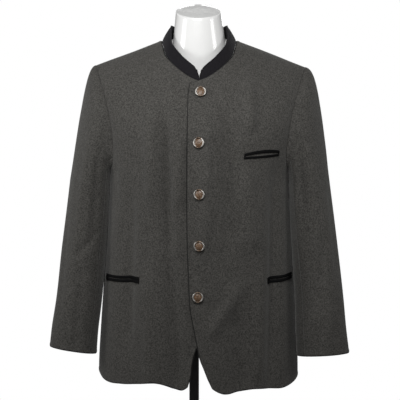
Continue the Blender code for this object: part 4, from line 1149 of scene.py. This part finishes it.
for number, (x, z) in enumerate(zip(BUTTON_X, BUTTON_HEIGHTS), start=1):
    spot, outward = touch(trees["left_front"], x, z)
    outward = Vector(outward)
    turn = outward.to_track_quat("Z", "Y").to_matrix().to_4x4()
    seat = Matrix.Translation(Vector(spot) + outward * BUTTON_GAP) @ turn
    bm = turned(RIM_PROFILE, 64)
    # Painted highlight mask: 1 at the rim's left and right sides, 0 at its top and bottom.
    painted_side_highlight_layer = bm.verts.layers.float.new("painted_side_highlight")
    for corner in bm.verts:
        sideways = abs(corner.co.x) / max(math.hypot(corner.co.x, corner.co.y), 0.0001)
        corner[painted_side_highlight_layer] = float(ease((sideways - 0.35) / 0.5))
    bmesh.ops.transform(bm, matrix=seat, verts=bm.verts)
    node = "button_" + str(number) + "_rim"
    finished("button_" + str(number) + "_ring", bm, old_silver, [node])

    rings = np.linspace(0.0, HORN_RADIUS, 22)
    dome = [(r, HORN_RIM + HORN_DOME * (1 - (r / HORN_RADIUS) ** 2)) for r in rings]
    bm = turned(dome + [(HORN_RADIUS, HORN_BACK), (0.0, HORN_BACK)], 96)
    for corner in bm.verts:
        radius = math.hypot(corner.co.x, corner.co.y)
        if corner.co.z > 0.0047 and radius > 0.0001:
            turn_angle = math.atan2(corner.co.y, corner.co.x)
            leaf = abs(math.cos(turn_angle * LEAVES / 2)) ** 0.6
            tip = 0.0064 - radius * (1.25 - 0.25 * leaf)
            window = float(ease((radius - 0.0016) / 0.0008) * ease(tip / 0.0008))
            ring = math.exp(-(((radius - 0.0074) / 0.0003) ** 2))
            eye = float(ease((0.0014 - radius) / 0.0005))
            corner.co.z += 0.0003 * leaf * window + 0.0002 * ring + 0.0003 * eye - 0.0002
    bmesh.ops.transform(bm, matrix=seat, verts=bm.verts)
    node = "button_" + str(number) + "_centre"
    finished("button_" + str(number) + "_rosette", bm, horn, [node])

# The studio is that of a plain product picture: a pale floor that fades into a white backdrop,
# and soft lights above the front, at each side and behind. The camera looks slightly down.
# The floor isn't part of the object.
CAMERA_PLACE = (0.0020, -2.9975, 1.07666)
CAMERA_LENS = 121.72
CAMERA_TILT = 82.0
CAMERA_SHIFT = 0.0020
ROOM_LIGHT = 0.09
FLOOR_RADIUS = 0.46

scene = bpy.context.scene
view = bpy.data.cameras.new("camera")
view.lens = CAMERA_LENS
view.sensor_width = 36.0
view.shift_x = CAMERA_SHIFT
camera = bpy.data.objects.new("camera", view)
camera.location = CAMERA_PLACE
camera.rotation_euler = (math.radians(CAMERA_TILT), 0.0, 0.0)
scene.collection.objects.link(camera)
scene.camera = camera

floor_finish, shader, place = new_finish("pale_floor", Roughness=0.9, Specular_IOR_Level=0.1)
far = place.node("ShaderNodeVectorMath", {"operation": "LENGTH"}, {0: place}, 1)
paint = place.noise(6.0).blend((0.72, 0.72, 0.72), (0.76, 0.76, 0.76))
plug(shader, Base_Color=paint, Alpha=1 - far.ramp(0.18, 0.44))
bm = bmesh.new()
bmesh.ops.create_circle(bm, cap_ends=True, segments=96, radius=FLOOR_RADIUS)
bmesh.ops.translate(bm, vec=(0.0, 0.0, -0.0005), verts=bm.verts)
mesh = bpy.data.meshes.new("floor")
bm.to_mesh(mesh)
bm.free()
mesh.materials.append(floor_finish)
floor = bpy.data.objects.new("floor", mesh)
scene.collection.objects.link(floor)

for name, place_at, target, size, power in (
    ("key", (-0.10, -1.10, 1.53), (0.0, 0.0, 0.94), 0.75, 14.0),
    ("left", (-1.35, -0.55, 1.00), (0.0, 0.0, 0.92), 0.45, 7.0),
    ("right", (1.35, -0.65, 1.10), (0.0, 0.0, 0.90), 0.45, 4.2),
    ("back", (0.4, 1.7, 1.42), (0.0, 0.0, 0.78), 1.2, 12.0),
):
    lamp = bpy.data.lights.new(name, "AREA")
    lamp.shape = "SQUARE"
    lamp.size = size
    lamp.energy = power
    light = bpy.data.objects.new(name, lamp)
    light.location = place_at
    light.rotation_euler = (Vector(target) - Vector(place_at)).to_track_quat("-Z", "Y").to_euler()
    scene.collection.objects.link(light)

world = bpy.data.worlds.new("white_room")
world.use_nodes = True
scene.world = world
tree = world.node_tree
background = tree.nodes["Background"]
background.inputs["Color"].default_value = (1.0, 1.0, 1.0, 1.0)
seen = Field(tree).node("ShaderNodeLightPath", {}, {}, 0)
plug(background, Strength=seen * (1.0 - ROOM_LIGHT) + ROOM_LIGHT)
scene.view_settings.view_transform = "Standard"
